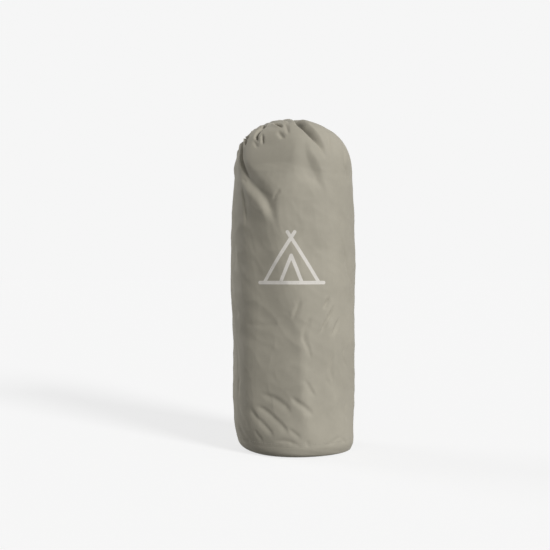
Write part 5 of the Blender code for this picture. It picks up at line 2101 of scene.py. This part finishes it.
@dataclass
class CordLock:
    """The barrel lock on the drawcord: barrel, sprung plunger and spring."""

    place: Triple
    radius: float = 0.0085
    wall: float = 0.0022
    top: float = 0.0075
    bottom: float = -0.0143
    cavity_floor: float = -0.0121
    edge: float = 0.0013
    lip: float = 0.0005
    waist: float = 0.0003
    waist_levels: tuple[float, ...] = (-0.0066, -0.0061, 0.0036, 0.0041)
    plunger_radius: float = 0.00594
    plunger_bottom: float = -0.0041
    travel: float = 0.0035
    proud: float = 0.0010
    cord_window: float = 0.0021
    cord_hole_half_width: float = 0.0042
    slot_corner: float = 0.0015
    spring_wire: float = 0.0004
    spring_radius: float = 0.00455
    spring_turns: float = 4.0
    spring_gap: float = 0.0003
    sides: int = 72
    ribs: int = 20
    rib_radius: float = 0.0005
    rib_length: float = 0.0050
    rib_level: float = -0.0096
    thumb_ribs: int = 12
    thumb_ring: float = 0.0027
    thumb_rib_radius: float = 0.0004
    thumb_rib_length: float = 0.0012
    dish: float = 0.0008

    def in_place(self, mesh: Mesh) -> Mesh:
        """A mesh moved from the lock's own frame, whose Z runs along +X of the object."""
        return moved(mesh, Matrix.Translation(self.place) @ Matrix.Rotation(QUARTER_TURN, 4, "Y"))

    def slotted(self, mesh: Mesh, side: int) -> Mesh:
        """Cut a rounded slot for the cord right across a mesh.

        Args:
            mesh: The mesh.
            side: 1 where the slot runs on from the cord towards the plunger's top, -1 the other way.

        Returns:
            The mesh with its slot.
        """
        half = (2 * self.cord_window + self.travel) / 2
        middle = side * (half - self.cord_window)
        outline = []
        for quarter, (across, up) in enumerate(((1, 1), (-1, 1), (-1, -1), (1, -1))):
            inset = (across * (self.cord_hole_half_width - self.slot_corner), up * (half - self.slot_corner))
            outline += rounded_corner(inset, self.slot_corner, quarter * 90.0, 6)
        weaver = Weaver(mesh.name + "_slot")
        ends = [[(x, y, z + middle) for y, z in outline] for x in (-2 * self.radius, 2 * self.radius)]
        rings = weaver.add_points(np.array(ends))
        weaver.join(rings, np.arange(len(outline) + 1) * 0.001, np.array([0.0, 0.03]))
        for ring in (rings[0][::-1], rings[1]):
            weaver.add_face(ring, [(0.0, 0.0)] * len(outline))
        return cut_slot(mesh, weaver.finish(30.0))

    def barrel(self) -> Mesh:
        """The barrel: a cup with rounded edges, a waist, and the cord's slot.

        Returns:
            The mesh.
        """
        radius, edge, lip = self.radius, self.edge, self.lip
        bore, waist = radius - self.wall, radius - self.waist
        low, rise, fall, high = self.waist_levels
        profile = [
            (0.0, self.bottom),
            (0.0030, self.bottom),
            *rounded_corner((radius - 2 * edge, self.bottom + 2 * edge), 2 * edge, -90.0, 8),
            (radius, low),
            (waist, rise),
            (waist, fall),
            (radius, high),
            *rounded_corner((radius - edge, self.top - edge), edge, 0.0, 6),
            *rounded_corner((bore + lip, self.top - lip), lip, 90.0, 4),
            (bore, self.cavity_floor + 0.0006),
            (bore - 0.0006, self.cavity_floor),
            (0.0, self.cavity_floor),
        ]
        return self.slotted(turned("cord_lock_barrel", profile, self.sides, closed=False), -1)

    def plunger(self) -> Mesh:
        """The plunger: a button with a dished, ribbed top on a stem with the cord's slot.

        Returns:
            The mesh.
        """
        top = self.top + self.travel + self.proud
        radius, foot = self.plunger_radius, self.plunger_bottom
        profile = [
            (0.0, foot),
            (radius - self.lip, foot),
            (radius, foot + self.lip),
            *rounded_corner((radius - 0.0012, top - 0.0012), 0.0012, 0.0, 7),
            (radius - 0.0022, top - 0.0002),
            (radius - 0.0034, top - 0.0006),
            (0.0, top - self.dish),
        ]
        return self.slotted(turned("cord_lock_plunger", profile, self.sides, closed=False), 1)

    def with_ribs(self, mesh: Mesh, material: Material, **sizes: float) -> Mesh:
        """Join a ring of rounded ribs to a piece.

        Args:
            mesh: The piece's mesh.
            material: Its material.
            sizes: The ring's sizes: Count, Ring_radius, Radius, Length and Level.

        Returns:
            One mesh of both.
        """
        growth = Growth("lock_ribs", material, **sizes)
        count, radius = growth.inputs["Count"], growth.inputs["Ring radius"]
        ring = growth.node("GeometryNodeMeshCircle", Vertices=count, Radius=radius)
        ribs = growth.grow(bpy.data.meshes.new("rib_seed"), growth.beads(ring, 10, 8))
        both = bmesh.new()
        both.from_mesh(mesh)
        both.from_mesh(ribs)
        both.to_mesh(mesh)
        both.free()
        mesh.update()
        return mesh

    def spring(self, material: Material, low: float, high: float) -> Mesh:
        """Wind a wire into the spring.

        Args:
            material: The wire's material.
            low: The level of the wire's first turn.
            high: The level of its last.

        Returns:
            The spring.
        """
        sizes = {"Turns": self.spring_turns, "Coil_radius": self.spring_radius, "Height": high - low}
        growth = Growth("lock_spring", material, **sizes, Wire_radius=self.spring_wire, Level=low)
        given = growth.inputs
        reach, thickness = given["Coil radius"], given["Wire radius"]
        ends = {"Start_Radius": reach, "End_Radius": reach, "Height": given["Height"]}
        coil = growth.node("GeometryNodeCurveSpiral", Resolution=40, Rotations=given["Turns"], **ends)
        wire = growth.node("GeometryNodeCurvePrimitiveCircle", Resolution=14, Radius=thickness)
        tube = growth.node("GeometryNodeCurveToMesh", Curve=coil, Profile_Curve=wire, Fill_Caps=True)
        return growth.grow(bpy.data.meshes.new("spring_seed"), tube)

    def build(self, wardrobe: Wardrobe) -> None:
        """Make the three pieces.

        Args:
            wardrobe: The materials.
        """
        dress = wardrobe.lock
        grip = {"Count": self.ribs, "Ring_radius": self.radius - 0.0002, "Level": self.rib_level}
        grip |= {"Radius": self.rib_radius, "Length": self.rib_length}
        barrel = self.in_place(self.with_ribs(self.barrel(), dress, **grip))
        finished_piece("lock_barrel", barrel, dress, "lock_plastic", "cord_lock_barrel")
        level = self.top + self.travel + self.proud - self.dish
        thumb = {"Count": self.thumb_ribs, "Ring_radius": self.thumb_ring, "Level": level}
        thumb |= {"Radius": self.thumb_rib_radius, "Length": self.thumb_rib_length}
        plunger = self.in_place(self.with_ribs(self.plunger(), dress, **thumb))
        finished_piece(
            "lock_plunger", plunger, dress, "lock_plastic", "cord_lock_plunger", body=PLUNGER_BODY
        )
        floor, gap = self.cavity_floor, self.spring_gap
        low, high = floor + gap + self.spring_wire, self.plunger_bottom - gap - self.spring_wire
        coil = self.in_place(self.spring(wardrobe.steel, low, high))
        spring = finished_piece("lock_spring", coil, wardrobe.steel, "spring_steel", "cord_lock_spring")
        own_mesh(spring)


# The contents


@dataclass
class TentRoll:
    """The tent body and the rainfly, folded to one width and wound up together."""

    core: float = 0.0300
    pitch: float = 0.0206
    turns: int = 3
    steps: int = 90
    foot: float = 0.0015
    top: float = 0.5758
    body_pack: float = 0.0125
    fly_pack: float = 0.0071
    gap: float = 0.0005
    inset: float = 0.0006
    layer_dip: float = 0.0030
    end_sway: float = 0.0012
    squeeze_heights: tuple[float, ...] = (0.0, 0.0235, 0.0585, 0.5383, 0.5743)
    squeeze_shares: tuple[float, ...] = (0.68, 0.93, 1.0, 1.0, 0.93)
    rows: int = 46

    def outline(self, layers: int) -> Array:
        """A folded strip's outline, with its layers showing at both ends.

        Args:
            layers: How many layers of cloth show.

        Returns:
            The points, as a share of the strip's thickness and a height.
        """
        heights = np.linspace(self.foot, self.top, self.rows)
        ends = np.linspace(0.0, 1.0, layers * 5 + 1)
        dip = self.layer_dip * (1.0 - np.abs(np.sin(math.pi * ends * layers)) ** 0.6)
        side = np.stack([np.zeros(self.rows), heights], axis=1)
        far = np.stack([np.ones(self.rows), heights[::-1]], axis=1)
        over = np.stack([ends, self.top - 0.0006 - dip], axis=1)[1:-1]
        under = np.stack([ends[::-1], self.foot + 0.0004 + dip[::-1] * 0.4], axis=1)[1:-1]
        return np.vstack([side, over, far, under])

    def wound(self, name: str, first: float, thickness: float, layers: int, seed: int) -> Mesh:
        """A folded strip wound as a spiral.

        Args:
            name: The mesh's name.
            first: The radius at which its inner face starts.
            thickness: How thick the folded strip is.
            layers: How many layers of cloth show at its ends.
            seed: The seed of its creases.

        Returns:
            The mesh.
        """
        count = self.turns * self.steps + 1
        step = np.arange(count)[:, None]
        angle = FULL_TURN * step / self.steps
        inner = first + self.pitch * step / self.steps
        outline = self.outline(layers)
        share, height = outline.T
        squeezed = np.interp(height - self.foot, self.squeeze_heights, self.squeeze_shares)
        rise = height[None] / self.top
        ripple = wander(angle / 9.0, rise, 24, 16, seed)
        fold = np.abs(wander(angle / 7.0, rise, 15, 5, seed + 1, 0.4))
        sway = self.end_sway * wander(angle / 5.0, np.zeros((count, 1)), 30, 1, seed + 2)
        slack = 0.0005 * (1 - ripple) + 0.0007 * (1 - fold)
        closing = np.sqrt(np.clip(np.minimum(step + 0.6, count - 0.4 - step) / 3.0, 0.05, 1.0))
        offset = (share * 2 - 1) * ((thickness / 2 - self.inset) * closing - slack * 0.8)
        radius = self.core + (inner + thickness / 2 + offset - self.core) * squeezed
        near_end = np.abs(height - self.top / 2) > self.top * 0.47
        z = np.maximum(np.where(near_end, height + np.minimum(sway, 0.0), height), self.foot)
        weaver = Weaver(name)
        spun = np.stack([-np.sin(angle) * radius, np.cos(angle) * radius, z], axis=-1)
        # The second value is painted shade: the cloth darkens where its creases sink in.
        rings = weaver.add_points(spun, np.clip((1.0 - fold) * 0.6, 0, 1))
        lengths = lengths_along(outline * [0.012, 1.0])
        weaver.join(rings, np.append(lengths, lengths[-1] + 0.001), (inner * angle)[:, 0])
        for ring in (rings[0][::-1], rings[-1]):
            weaver.add_face(ring, [(0.0, 0.0)] * len(height))
        return weaver.finish(70.0)

    def build(self, wardrobe: Wardrobe) -> None:
        """Make both strips.

        Args:
            wardrobe: The materials.
        """
        body = self.wound("tent_body_roll", self.core, self.body_pack, 6, 101)
        finished_piece("tent_body", body, wardrobe.body_cloth, "tent_body_cloth", "tent_body_roll")
        fly = self.wound("rainfly_roll", self.core + self.body_pack + self.gap, self.fly_pack, 4, 201)
        finished_piece("rainfly", fly, wardrobe.fly_cloth, "rainfly_cloth", "rainfly_roll")


@dataclass
class PoleSet:
    """Two main poles and the brow pole, folded side by side on their cords, and their bag."""

    radius: float = 0.0055
    bore: float = 0.0049
    insert_radius: float = 0.0045
    insert_bore: float = 0.0039
    insert_length: float = 0.045
    insert_seat: float = 0.040
    folded_length: float = 0.560
    pitch: float = 0.0114
    floor: float = 0.0073969
    lip: float = 0.00025
    groove: float = 0.00012
    sides: int = 28
    cord_radius: float = 0.0012
    cord_offset: float = 0.0021031
    tip_head: float = 0.012
    tip_plug: float = 0.020
    tip_radius: float = 0.0050
    plug_radius: float = 0.0042
    bag_radius: float = 0.0295
    bag_floor: float = 0.0015
    bag_top: float = 0.5733
    bag_cloth: float = 0.0007
    bag_edge: float = 0.004
    bag_pleats: int = 24
    bag_crease: float = 0.016
    bag_grid: tuple[int, int] = (144, 74)
    bag_flat_width: float = 0.185
    bag_foot_shares: tuple[float, ...] = (0.02, 0.35, 0.7, 0.9)
    bag_lid_shares: tuple[float, ...] = (0.80, 0.70, 0.60, 0.50, 0.45)
    bag_brow: Triple = (0.003, 0.0006, 0.0008)
    bag_hexagon: Pair = (0.90, 0.10)
    bag_full_from: Pair = (0.004, 0.02)
    bag_pleat_depth: float = 0.0007
    seat_gap: float = 0.0003
    poles: tuple[tuple[str, int, int], ...] = (
        ("main_pole_1", 0, 7), ("main_pole_2", 7, 14), ("brow_pole", 14, 19)
    )

    def cells(self) -> list[Pair]:
        """The places of the sections: the middle one and two rings round it.

        Returns:
            The places.
        """
        steps = [np.array([math.cos(a), math.sin(a)]) * self.pitch for a in turn_angles(6)]
        cells = [(0.0, 0.0)]
        for ring in (1, 2):
            cell = steps[4] * ring
            for step in np.repeat(steps, ring, axis=0):
                cells.append((float(cell[0]), float(cell[1])))
                cell = cell + step
        return cells

    def section_profile(self, first: bool, last: bool) -> list[Pair]:
        """A section's outline, as its outside going up and its inside coming down.

        Args:
            first: Whether it is the first section of its pole.
            last: Whether it is the last one.

        Returns:
            The (radius, height) points.
        """
        half = self.folded_length / 2
        low = (self.tip_head if first else 0.0) - half
        high = half - (self.tip_head if last else self.insert_length)
        radius, lip, groove = self.radius, self.lip, self.radius - self.groove
        outside = [(radius - lip, low), (radius, low + lip), (radius, low + 0.0042), (groove, low + 0.0046)]
        outside += [(groove, low + 0.0052), (radius, low + 0.0056)]
        outside += [(radius, high - lip), (radius - lip, high)]
        if last:
            return [*outside, (self.bore, high), (self.bore, low)]
        insert = [(self.insert_radius, high), (self.insert_radius, half - 0.0008)]
        insert += [(self.insert_radius - 0.0004, half), (self.insert_bore, half)]
        seat = high - self.insert_seat
        return [*outside, *insert, (self.insert_bore, seat), (self.bore, seat), (self.bore, low)]

    def tip_profile(self) -> list[Pair]:
        """A tip's outline: a domed nose with a groove, a flange and a plug.

        Returns:
            The (radius, height) points.
        """
        low = -self.folded_length / 2
        neck = low + self.tip_head - self.seat_gap
        head, plug, end = self.tip_radius, self.plug_radius, neck + self.tip_plug
        nose = [(0.0, low), (head * 0.45, low + 0.0001)]
        nose += rounded_corner((head - 0.0022, low + 0.0025), 0.0022, -80.0, 7, 80.0)
        ring = [(head, low + 0.0062), (head - 0.0007, low + 0.0068), (head - 0.0007, low + 0.0082)]
        flange = [(head, low + 0.0088), (head, neck - 0.0003), (head - 0.0003, neck), (plug, neck)]
        return [*nose, *ring, *flange, (plug, end - 0.0008), (plug - 0.0008, end), (0.0, end)]

    def cord_line(self, cells: Sequence[Pair]) -> Array:
        """The elastic through one folded pole: up one section, over to the next and down it.

        Args:
            cells: The places of the pole's sections.

        Returns:
            The line's points.
        """
        plug_end = self.tip_head + self.tip_plug
        low, high = self.floor, self.floor + self.folded_length
        loop = self.pitch / 2 - self.cord_offset
        line = [(*cells[0], low + plug_end)]
        for i, (here, there) in enumerate(zip(np.array(cells), np.array(cells[1:]))):
            end, rise = (high, 1) if i % 2 == 0 else (low, -1)
            for turn in np.linspace(0.0, math.pi, 19):
                flat = (here + there) / 2 - unit(there - here) * loop * math.cos(turn)
                line.append((*flat, end + rise * loop * math.sin(turn)))
        return np.array([*line, (*cells[-1], high - plug_end)])

    def bag(self) -> Mesh:
        """The pole bag: cloth drawn over the bundle's six corners, with its top folded in.

        Returns:
            The mesh.
        """
        weaver = Weaver("pole_bag")
        columns, rows = self.bag_grid
        around = turn_angles(columns)
        reach, floor, top = self.bag_radius, self.bag_floor, self.bag_top
        edge = self.bag_edge
        foot = [(share * (reach - edge), floor) for share in self.bag_foot_shares]
        levels = np.linspace(floor, top, rows)
        wall = [(reach - edge * max(0.0, 1 - (z - floor) / edge) ** 1.5, z) for z in levels]
        drawn, rise, lid_rise = self.bag_brow
        brow = [(reach - drawn * t * t, top + rise * t) for t in (0.5, 1.0)]
        lid = [(reach * share, top + lid_rise) for share in self.bag_lid_shares]
        profile = np.array([*foot, *wall, *brow, *lid])
        out, height = profile[:, :1], profile[:, 1:]
        corners = np.cos(math.pi / 6) / np.cos(np.mod(around, math.pi / 3) - math.pi / 6)
        flattest, bulge = self.bag_hexagon
        hexagon = flattest + bulge * (corners - corners.min()) / (1 - corners.min())
        share = np.linspace(0.0, 1.0, len(profile))[:, None]
        crease = wander(around / FULL_TURN, share, 18, 26, 301, 0.2)
        start, fade = self.bag_full_from
        full = ease((height - start) / fade)
        shape = 1.0 - (1.0 - hexagon) * full - self.bag_crease * np.maximum(0.0, crease) * full
        folded_in = (np.arange(len(profile)) >= len(foot) + rows)[:, None]
        pleats = self.bag_pleat_depth * np.sin(self.bag_pleats * around) * folded_in
        skins = []
        for inset in (0.0, self.bag_cloth):
            radius = np.maximum(out * shape - inset, 0.0002)
            z = height + inset * (height < floor + 0.002) - inset * folded_in + pleats
            skins.append(weaver.add_points(ring_points(radius, around, z)))
        middles = [(0.0, 0.0, floor), (0.0, 0.0, floor + self.bag_cloth)]
        across = self.bag_flat_width * np.arange(columns + 1) / columns
        weaver.pouch(skins, middles, across, lengths_along(profile))
        return weaver.finish(60.0)

    def stand(self, name: str, mesh: Mesh, cell: Pair, turn: float, *dress: object) -> None:
        """Stand a section or a tip in its cell, turned over where its pole runs down.

        Args:
            name: The piece's name.
            mesh: Its mesh.
            cell: Its place.
            turn: How far it is turned over.
            dress: Its material, its slot and its node.
        """
        middle = self.floor + self.folded_length / 2
        moved(mesh, Matrix.Translation((*cell, middle)) @ Matrix.Rotation(turn, 4, "X"))
        finished_piece(name, mesh, *dress)

    def build(self, wardrobe: Wardrobe) -> None:
        """Make every section, tip and cord, and the bag.

        Args:
            wardrobe: The materials.
        """
        cells = self.cells()
        for pole, start, end in self.poles:
            own = cells[start:end]
            for i, cell in enumerate(own):
                node = f"{pole}_section_{i + 1}"
                mesh = turned(node, self.section_profile(i == 0, i == len(own) - 1), self.sides)
                self.stand(node + "_tube", mesh, cell, math.pi * (i % 2), wardrobe.tube, "pole_tube", node)
            for i, cell in enumerate((own[0], own[-1])):
                node = f"{pole}_tip_{i + 1}"
                mesh = turned(node, self.tip_profile(), self.sides, closed=False)
                self.stand(node + "_foot", mesh, cell, math.pi * i, wardrobe.tip, "pole_tip", node)
            node = f"{pole}_shock_cord"
            cord = Weaver(node)
            line = evenly_spaced(self.cord_line(own), 0.0011)
            cord.tube(line, Braid(self.cord_radius, 3, 0.0044, 0.05).reach, 10)
            finished_piece(node + "_elastic", cord.finish(80.0), wardrobe.shock_cord, "shock_cord", node)
        bag = finished_piece("pole_sleeve", self.bag(), wardrobe.bag_cloth, "bag_cloth", "pole_bag")


@dataclass
class PegSet:
    """Ten hooked pegs in two stacks, the sleeve that mends a broken pole, and their bag."""

    middle: Triple = (0.004, -0.014, 0.590594)
    length: float = 0.155
    radius: float = 0.0025
    hook_radius: float = 0.0065
    hook_drop: float = 0.009
    point_length: float = 0.012
    stack: int = 5
    peg_pitch: float = 0.0054
    offset: float = 0.0027
    sleeve_bore: float = 0.0058
    sleeve_radius: float = 0.0065
    sleeve_length: float = 0.110
    sleeve_offset: float = 0.0121
    bag_half_width: float = 0.0198
    bag_half_height: float = 0.0145
    bag_length: float = 0.1694
    bag_cloth: float = 0.0006
    bag_squareness: float = 0.36
    bag_end: float = 0.009
    bag_neck: float = 0.33
    bag_foot: float = 0.52
    bag_pleats: int = 15
    bag_grid: tuple[int, int] = (132, 96)
    bag_flat_width: float = 0.112
    bag_relief: float = 0.0015
    crease_depth: float = 0.0006
    peg_relief: float = 0.0009
    valley: Pair = (0.0012, 0.0020)
    pleat_depth: float = 0.0014
    point_steps: tuple[float, ...] = (0.0, 0.0012, 0.003, 0.006, 0.009)
    point_shares: Triple = (0.22, 0.34, 1.0)
    shank_from: float = 0.0105
    shank_steps: int = 40
    hook_steps: int = 17
    tail_steps: int = 6
    peg_sides: int = 18
    sleeve_sides: int = 36
    sleeve_edge: float = 0.0003
    dimple_levels: Pair = (0.006, 0.0085)
    dimple_depth: float = 0.0002
    dimple_steps: Triple = (0.0004, 0.0016, 0.0020)
    sleeve_gap: Pair = (0.0008, 0.0003)

    def peg_mesh(self, name: str, side: int, level: float) -> Mesh:
        """One peg in place.

        Args:
            name: The mesh's name.
            side: 1 for the stack whose hooks turn to +Y, -1 for the other.
            level: The peg's height in the bag.

        Returns:
            The mesh.
        """
        hook_radius = self.hook_radius
        shank_end = self.length - hook_radius - self.radius
        point = [(x, 0.0) for x in self.point_steps]
        along_shank = np.linspace(0.0, shank_end, self.shank_steps)[:-1]
        shank = [(x, 0.0) for x in along_shank if x > self.shank_from]
        bends = np.linspace(0.0, math.pi, self.hook_steps)
        hook = zip(shank_end + hook_radius * np.sin(bends), hook_radius * (1 - np.cos(bends)))
        along_tail = np.linspace(shank_end, shank_end - self.hook_drop, self.tail_steps)[1:]
        tail = [(x, 2 * hook_radius) for x in along_tail]
        line = np.array([(x, side * y, 0.0) for x, y in (*point, *shank, *hook, *tail)])

        def reach(angle: Array, along: Array) -> Array:
            """The peg's radius: a point, a full shank and a rounded tail end.

            Args:
                angle: The angle.
                along: The length along it.

            Returns:
                The radius.
            """
            taper = np.interp(along, [*self.point_steps[:2], self.point_length], self.point_shares)
            blunt = np.sqrt(np.clip((along[-1] - along) / self.point_steps[1], 0.0, 1.0)) * 0.35 + 0.65
            return self.radius * taper * blunt + angle * 0.0

        weaver = Weaver(name)
        start = np.array(self.middle) + [-self.length / 2, side * self.offset, level]
        weaver.tube(start + line, reach, self.peg_sides)
        return weaver.finish(60.0)

    def sleeve(self) -> Mesh:
        """The repair sleeve, a short tube with a dimple ring at each end.

        Returns:
            The mesh.
        """
        ring, length, edge = self.sleeve_radius, self.sleeve_length, self.sleeve_edge
        (low, high), (down, up, end) = self.dimple_levels, self.dimple_steps
        dimple = ring - self.dimple_depth
        profile = [(ring - edge, 0.0), (ring, edge)]
        for level in (low, length - high):
            profile += [(ring, level), (dimple, level + down)]
            profile += [(dimple, level + up), (ring, level + end)]
        profile += [(ring, length - edge), (ring - edge, length), (self.sleeve_bore, length)]
        mesh = turned("pole_repair_sleeve", [*profile, (self.sleeve_bore, 0.0)], self.sleeve_sides)
        resting = -self.bag_half_height + self.sleeve_gap[0] + self.sleeve_gap[1] + self.sleeve_radius
        start = Vector((-self.length / 2 + self.point_length, self.sleeve_offset, resting))
        place = Matrix.Translation(Vector(self.middle) + start)
        return moved(mesh, place @ Matrix.Rotation(QUARTER_TURN, 4, "Y"))

    def bag(self) -> Mesh:
        """The peg bag: soft cloth that shows the pegs under it, drawn up at one end.

        Returns:
            The mesh.
        """
        weaver = Weaver("peg_bag")
        columns, rows = self.bag_grid
        around, run = turn_angles(columns), np.linspace(-1.0, 1.0, rows)[:, None]
        cosine, sine = np.cos(around), np.sin(around)
        y = np.sign(cosine) * np.abs(cosine) ** self.bag_squareness * self.bag_half_width
        z = np.sign(sine) * np.abs(sine) ** self.bag_squareness * self.bag_half_height
        half = self.bag_length / 2
        left = np.clip((1.0 - np.abs(run)) * half / self.bag_end, 0.0, 1.0)
        drawn = np.where(run > 0, self.bag_neck, self.bag_foot)
        share = drawn + (1 - drawn) * np.sqrt(1 - (1 - left) ** 2)
        crease = wander(around / FULL_TURN, (run + 1) / 2, 14, 12, 401, 0.4)
        side_face, top_face = np.abs(cosine) ** 8, np.abs(sine) ** 8
        stack = 0.5 - 0.5 * np.cos(FULL_TURN * z / self.peg_pitch)
        pegs = self.peg_relief * side_face * (1 - stack) * (cosine < 0)
        valley = self.valley[0] * top_face * bell(y, self.valley[1])
        pinch = (1 - left) * np.sin(self.bag_pleats * around + 0.8 * crease) * self.pleat_depth
        inward = self.crease_depth * np.maximum(crease, 0.0) + pegs + valley
        skins, middles = [], []
        for inset in (0.0, self.bag_cloth):
            across = share * y - np.sign(y) * (inward * side_face + inset) + pinch * cosine
            up = share * z - np.sign(z) * (inward * top_face + inset) + pinch * sine
            along = np.broadcast_to(run * half * (1 - inset / half), up.shape)
            points = np.stack([along, across, up], axis=-1) + np.array(self.middle)
            # The second value is painted shade: the cloth darkens where it is drawn in over the pegs and
            # creases.
            skins.append(weaver.add_points(points, np.clip(inward / self.bag_relief, 0, 1)))
            middles.append((points[0, 0, 0], *self.middle[1:]))
        width = self.bag_flat_width * np.arange(columns + 1) / columns
        weaver.pouch(skins, middles, width, half * (run[:, 0] + 1), -1)
        return weaver.finish(60.0)

    def build(self, wardrobe: Wardrobe) -> None:
        """Make the pegs, the sleeve and the bag.

        Args:
            wardrobe: The materials.
        """
        lowest = -(self.stack - 1) / 2 * self.peg_pitch
        for number in range(2 * self.stack):
            side, layer = 1 - 2 * (number // self.stack), number % self.stack
            node = f"peg_{number + 1}"
            mesh = self.peg_mesh(node, side, lowest + layer * self.peg_pitch)
            finished_piece(node + "_hook", mesh, wardrobe.peg, "peg_metal", node)
        finished_piece("repair_sleeve", self.sleeve(), wardrobe.peg, "peg_metal", "pole_repair_sleeve")
        bag = finished_piece("peg_pouch", self.bag(), wardrobe.bag_cloth, "bag_cloth", "peg_bag")


# The studio


@dataclass(frozen=True)
class Studio:
    """The camera at the photograph's angle, a plain pale floor and soft light."""

    camera_place: Triple = (-0.0357, -1.75, 0.352)
    lens: float = 56.16
    background: float = 0.921
    sky: float = 0.235
    key: float = 2.66
    key_from: Triple = (0.57, -0.65, 0.38)
    key_spread: float = 16.0
    rim: float = 1.05
    rim_from: Triple = (-0.84, 0.44, 0.30)
    rim_spread: float = 30.0
    floor_colour: float = 0.30
    floor_glow: float = 0.722
    floor_reach: float = 60.0

    def camera(self) -> None:
        """Set up the camera."""
        data = bpy.data.cameras.new("camera")
        data.lens = self.lens
        data.sensor_width = 36.0
        data.clip_end = 200.0
        made = placed("camera", data)
        made.location = self.camera_place
        made.rotation_euler = (QUARTER_TURN, 0.0, 0.0)
        bpy.context.scene.camera = made

    @staticmethod
    def sun(name: str, strength: float, origin: Triple, spread: float) -> None:
        """Add one broad light.

        Args:
            name: Its name.
            strength: Its strength.
            origin: The direction that it comes from.
            spread: How broad it is, in degrees.
        """
        data = bpy.data.lights.new(name, "SUN")
        data.energy = strength
        data.angle = math.radians(spread)
        made = placed(name, data)
        made.rotation_mode = "QUATERNION"
        made.rotation_quaternion = Vector(origin).to_track_quat("Z", "Y")

    @staticmethod
    def cleared(owner: Material | bpy.types.World) -> tuple[Bench, Socket]:
        """Empty the node tree of a material or a world.

        Args:
            owner: The material or world.

        Returns:
            Its bench, and a socket that is 1 for rays that show the background: straight, mirrored
            or through glass.
        """
        owner.use_nodes = True
        owner.node_tree.nodes.clear()
        bench = Bench(owner.node_tree)
        path = bench.node("ShaderNodeLightPath").outputs
        seen = bench.math("MAXIMUM", path["Is Camera Ray"], path["Is Glossy Ray"])
        return bench, bench.math("MAXIMUM", seen, path["Is Transmission Ray"])

    def world(self) -> None:
        """Light the scene evenly from all round, and show a plain pale background."""
        world = bpy.data.worlds.new("studio")
        bench, seen = self.cleared(world)
        white = (1.0, 1.0, 1.0)
        glow = bench.node("ShaderNodeBackground", None, Color=scaled(white, 1.0), Strength=self.sky)
        shown = bench.node("ShaderNodeBackground", None, Color=scaled(white, self.background), Strength=1.0)
        mix = bench.node("ShaderNodeMixShader", None, Fac=seen)
        for socket, part in zip(mix.inputs[1:], (glow, shown)):
            bench.feed(socket, part)
        bench.node("ShaderNodeOutputWorld", None, Surface=mix)
        bpy.context.scene.world = world

    def floor(self) -> None:
        """Lay the floor, which keeps the object's soft shadow."""
        mesh = bpy.data.meshes.new("floor")
        reach = self.floor_reach
        corners = [(-reach, -reach, 0.0), (reach, -reach, 0.0), (reach, reach, 0.0), (-reach, reach, 0.0)]
        mesh.from_pydata(corners, [], [(0, 1, 2, 3)])
        material = bpy.data.materials.new("floor_paper")
        bench, seen = self.cleared(material)
        paper = bench.node("ShaderNodeBsdfDiffuse", None, Color=scaled((1.0, 1.0, 1.0), self.floor_colour))
        glow = bench.node("ShaderNodeEmission", None, Strength=bench.times(seen, self.floor_glow))
        both = bench.node("ShaderNodeAddShader")
        for socket, part in zip(both.inputs, (paper, glow)):
            bench.feed(socket, part)
        bench.node("ShaderNodeOutputMaterial", None, Surface=both)
        mesh.materials.append(material)
        made = placed("floor", mesh)

    def build(self) -> None:
        """Set up the whole studio."""
        bpy.context.scene.view_settings.view_transform = "Standard"
        self.camera()
        self.world()
        self.sun("key", self.key, self.key_from, self.key_spread)
        self.sun("rim", self.rim, self.rim_from, self.rim_spread)
        self.floor()


def main() -> None:
    """Build the studio and every sub-assembly, and report each piece."""
    logging.basicConfig(level=logging.INFO, format="%(message)s")
    Studio().build()
    shape = SackShape()
    wardrobe = Wardrobe()
    cloth = SackCloth(shape)
    cloth.build(wardrobe)
    route = CordRoute(shape)
    Closure(shape, cloth.gathers, route).build(wardrobe)
    CordLock(route.lock).build(wardrobe)
    for contents in (TentRoll(), PoleSet(), PegSet()):
        contents.build(wardrobe)


if __name__ == "__main__":
    main()
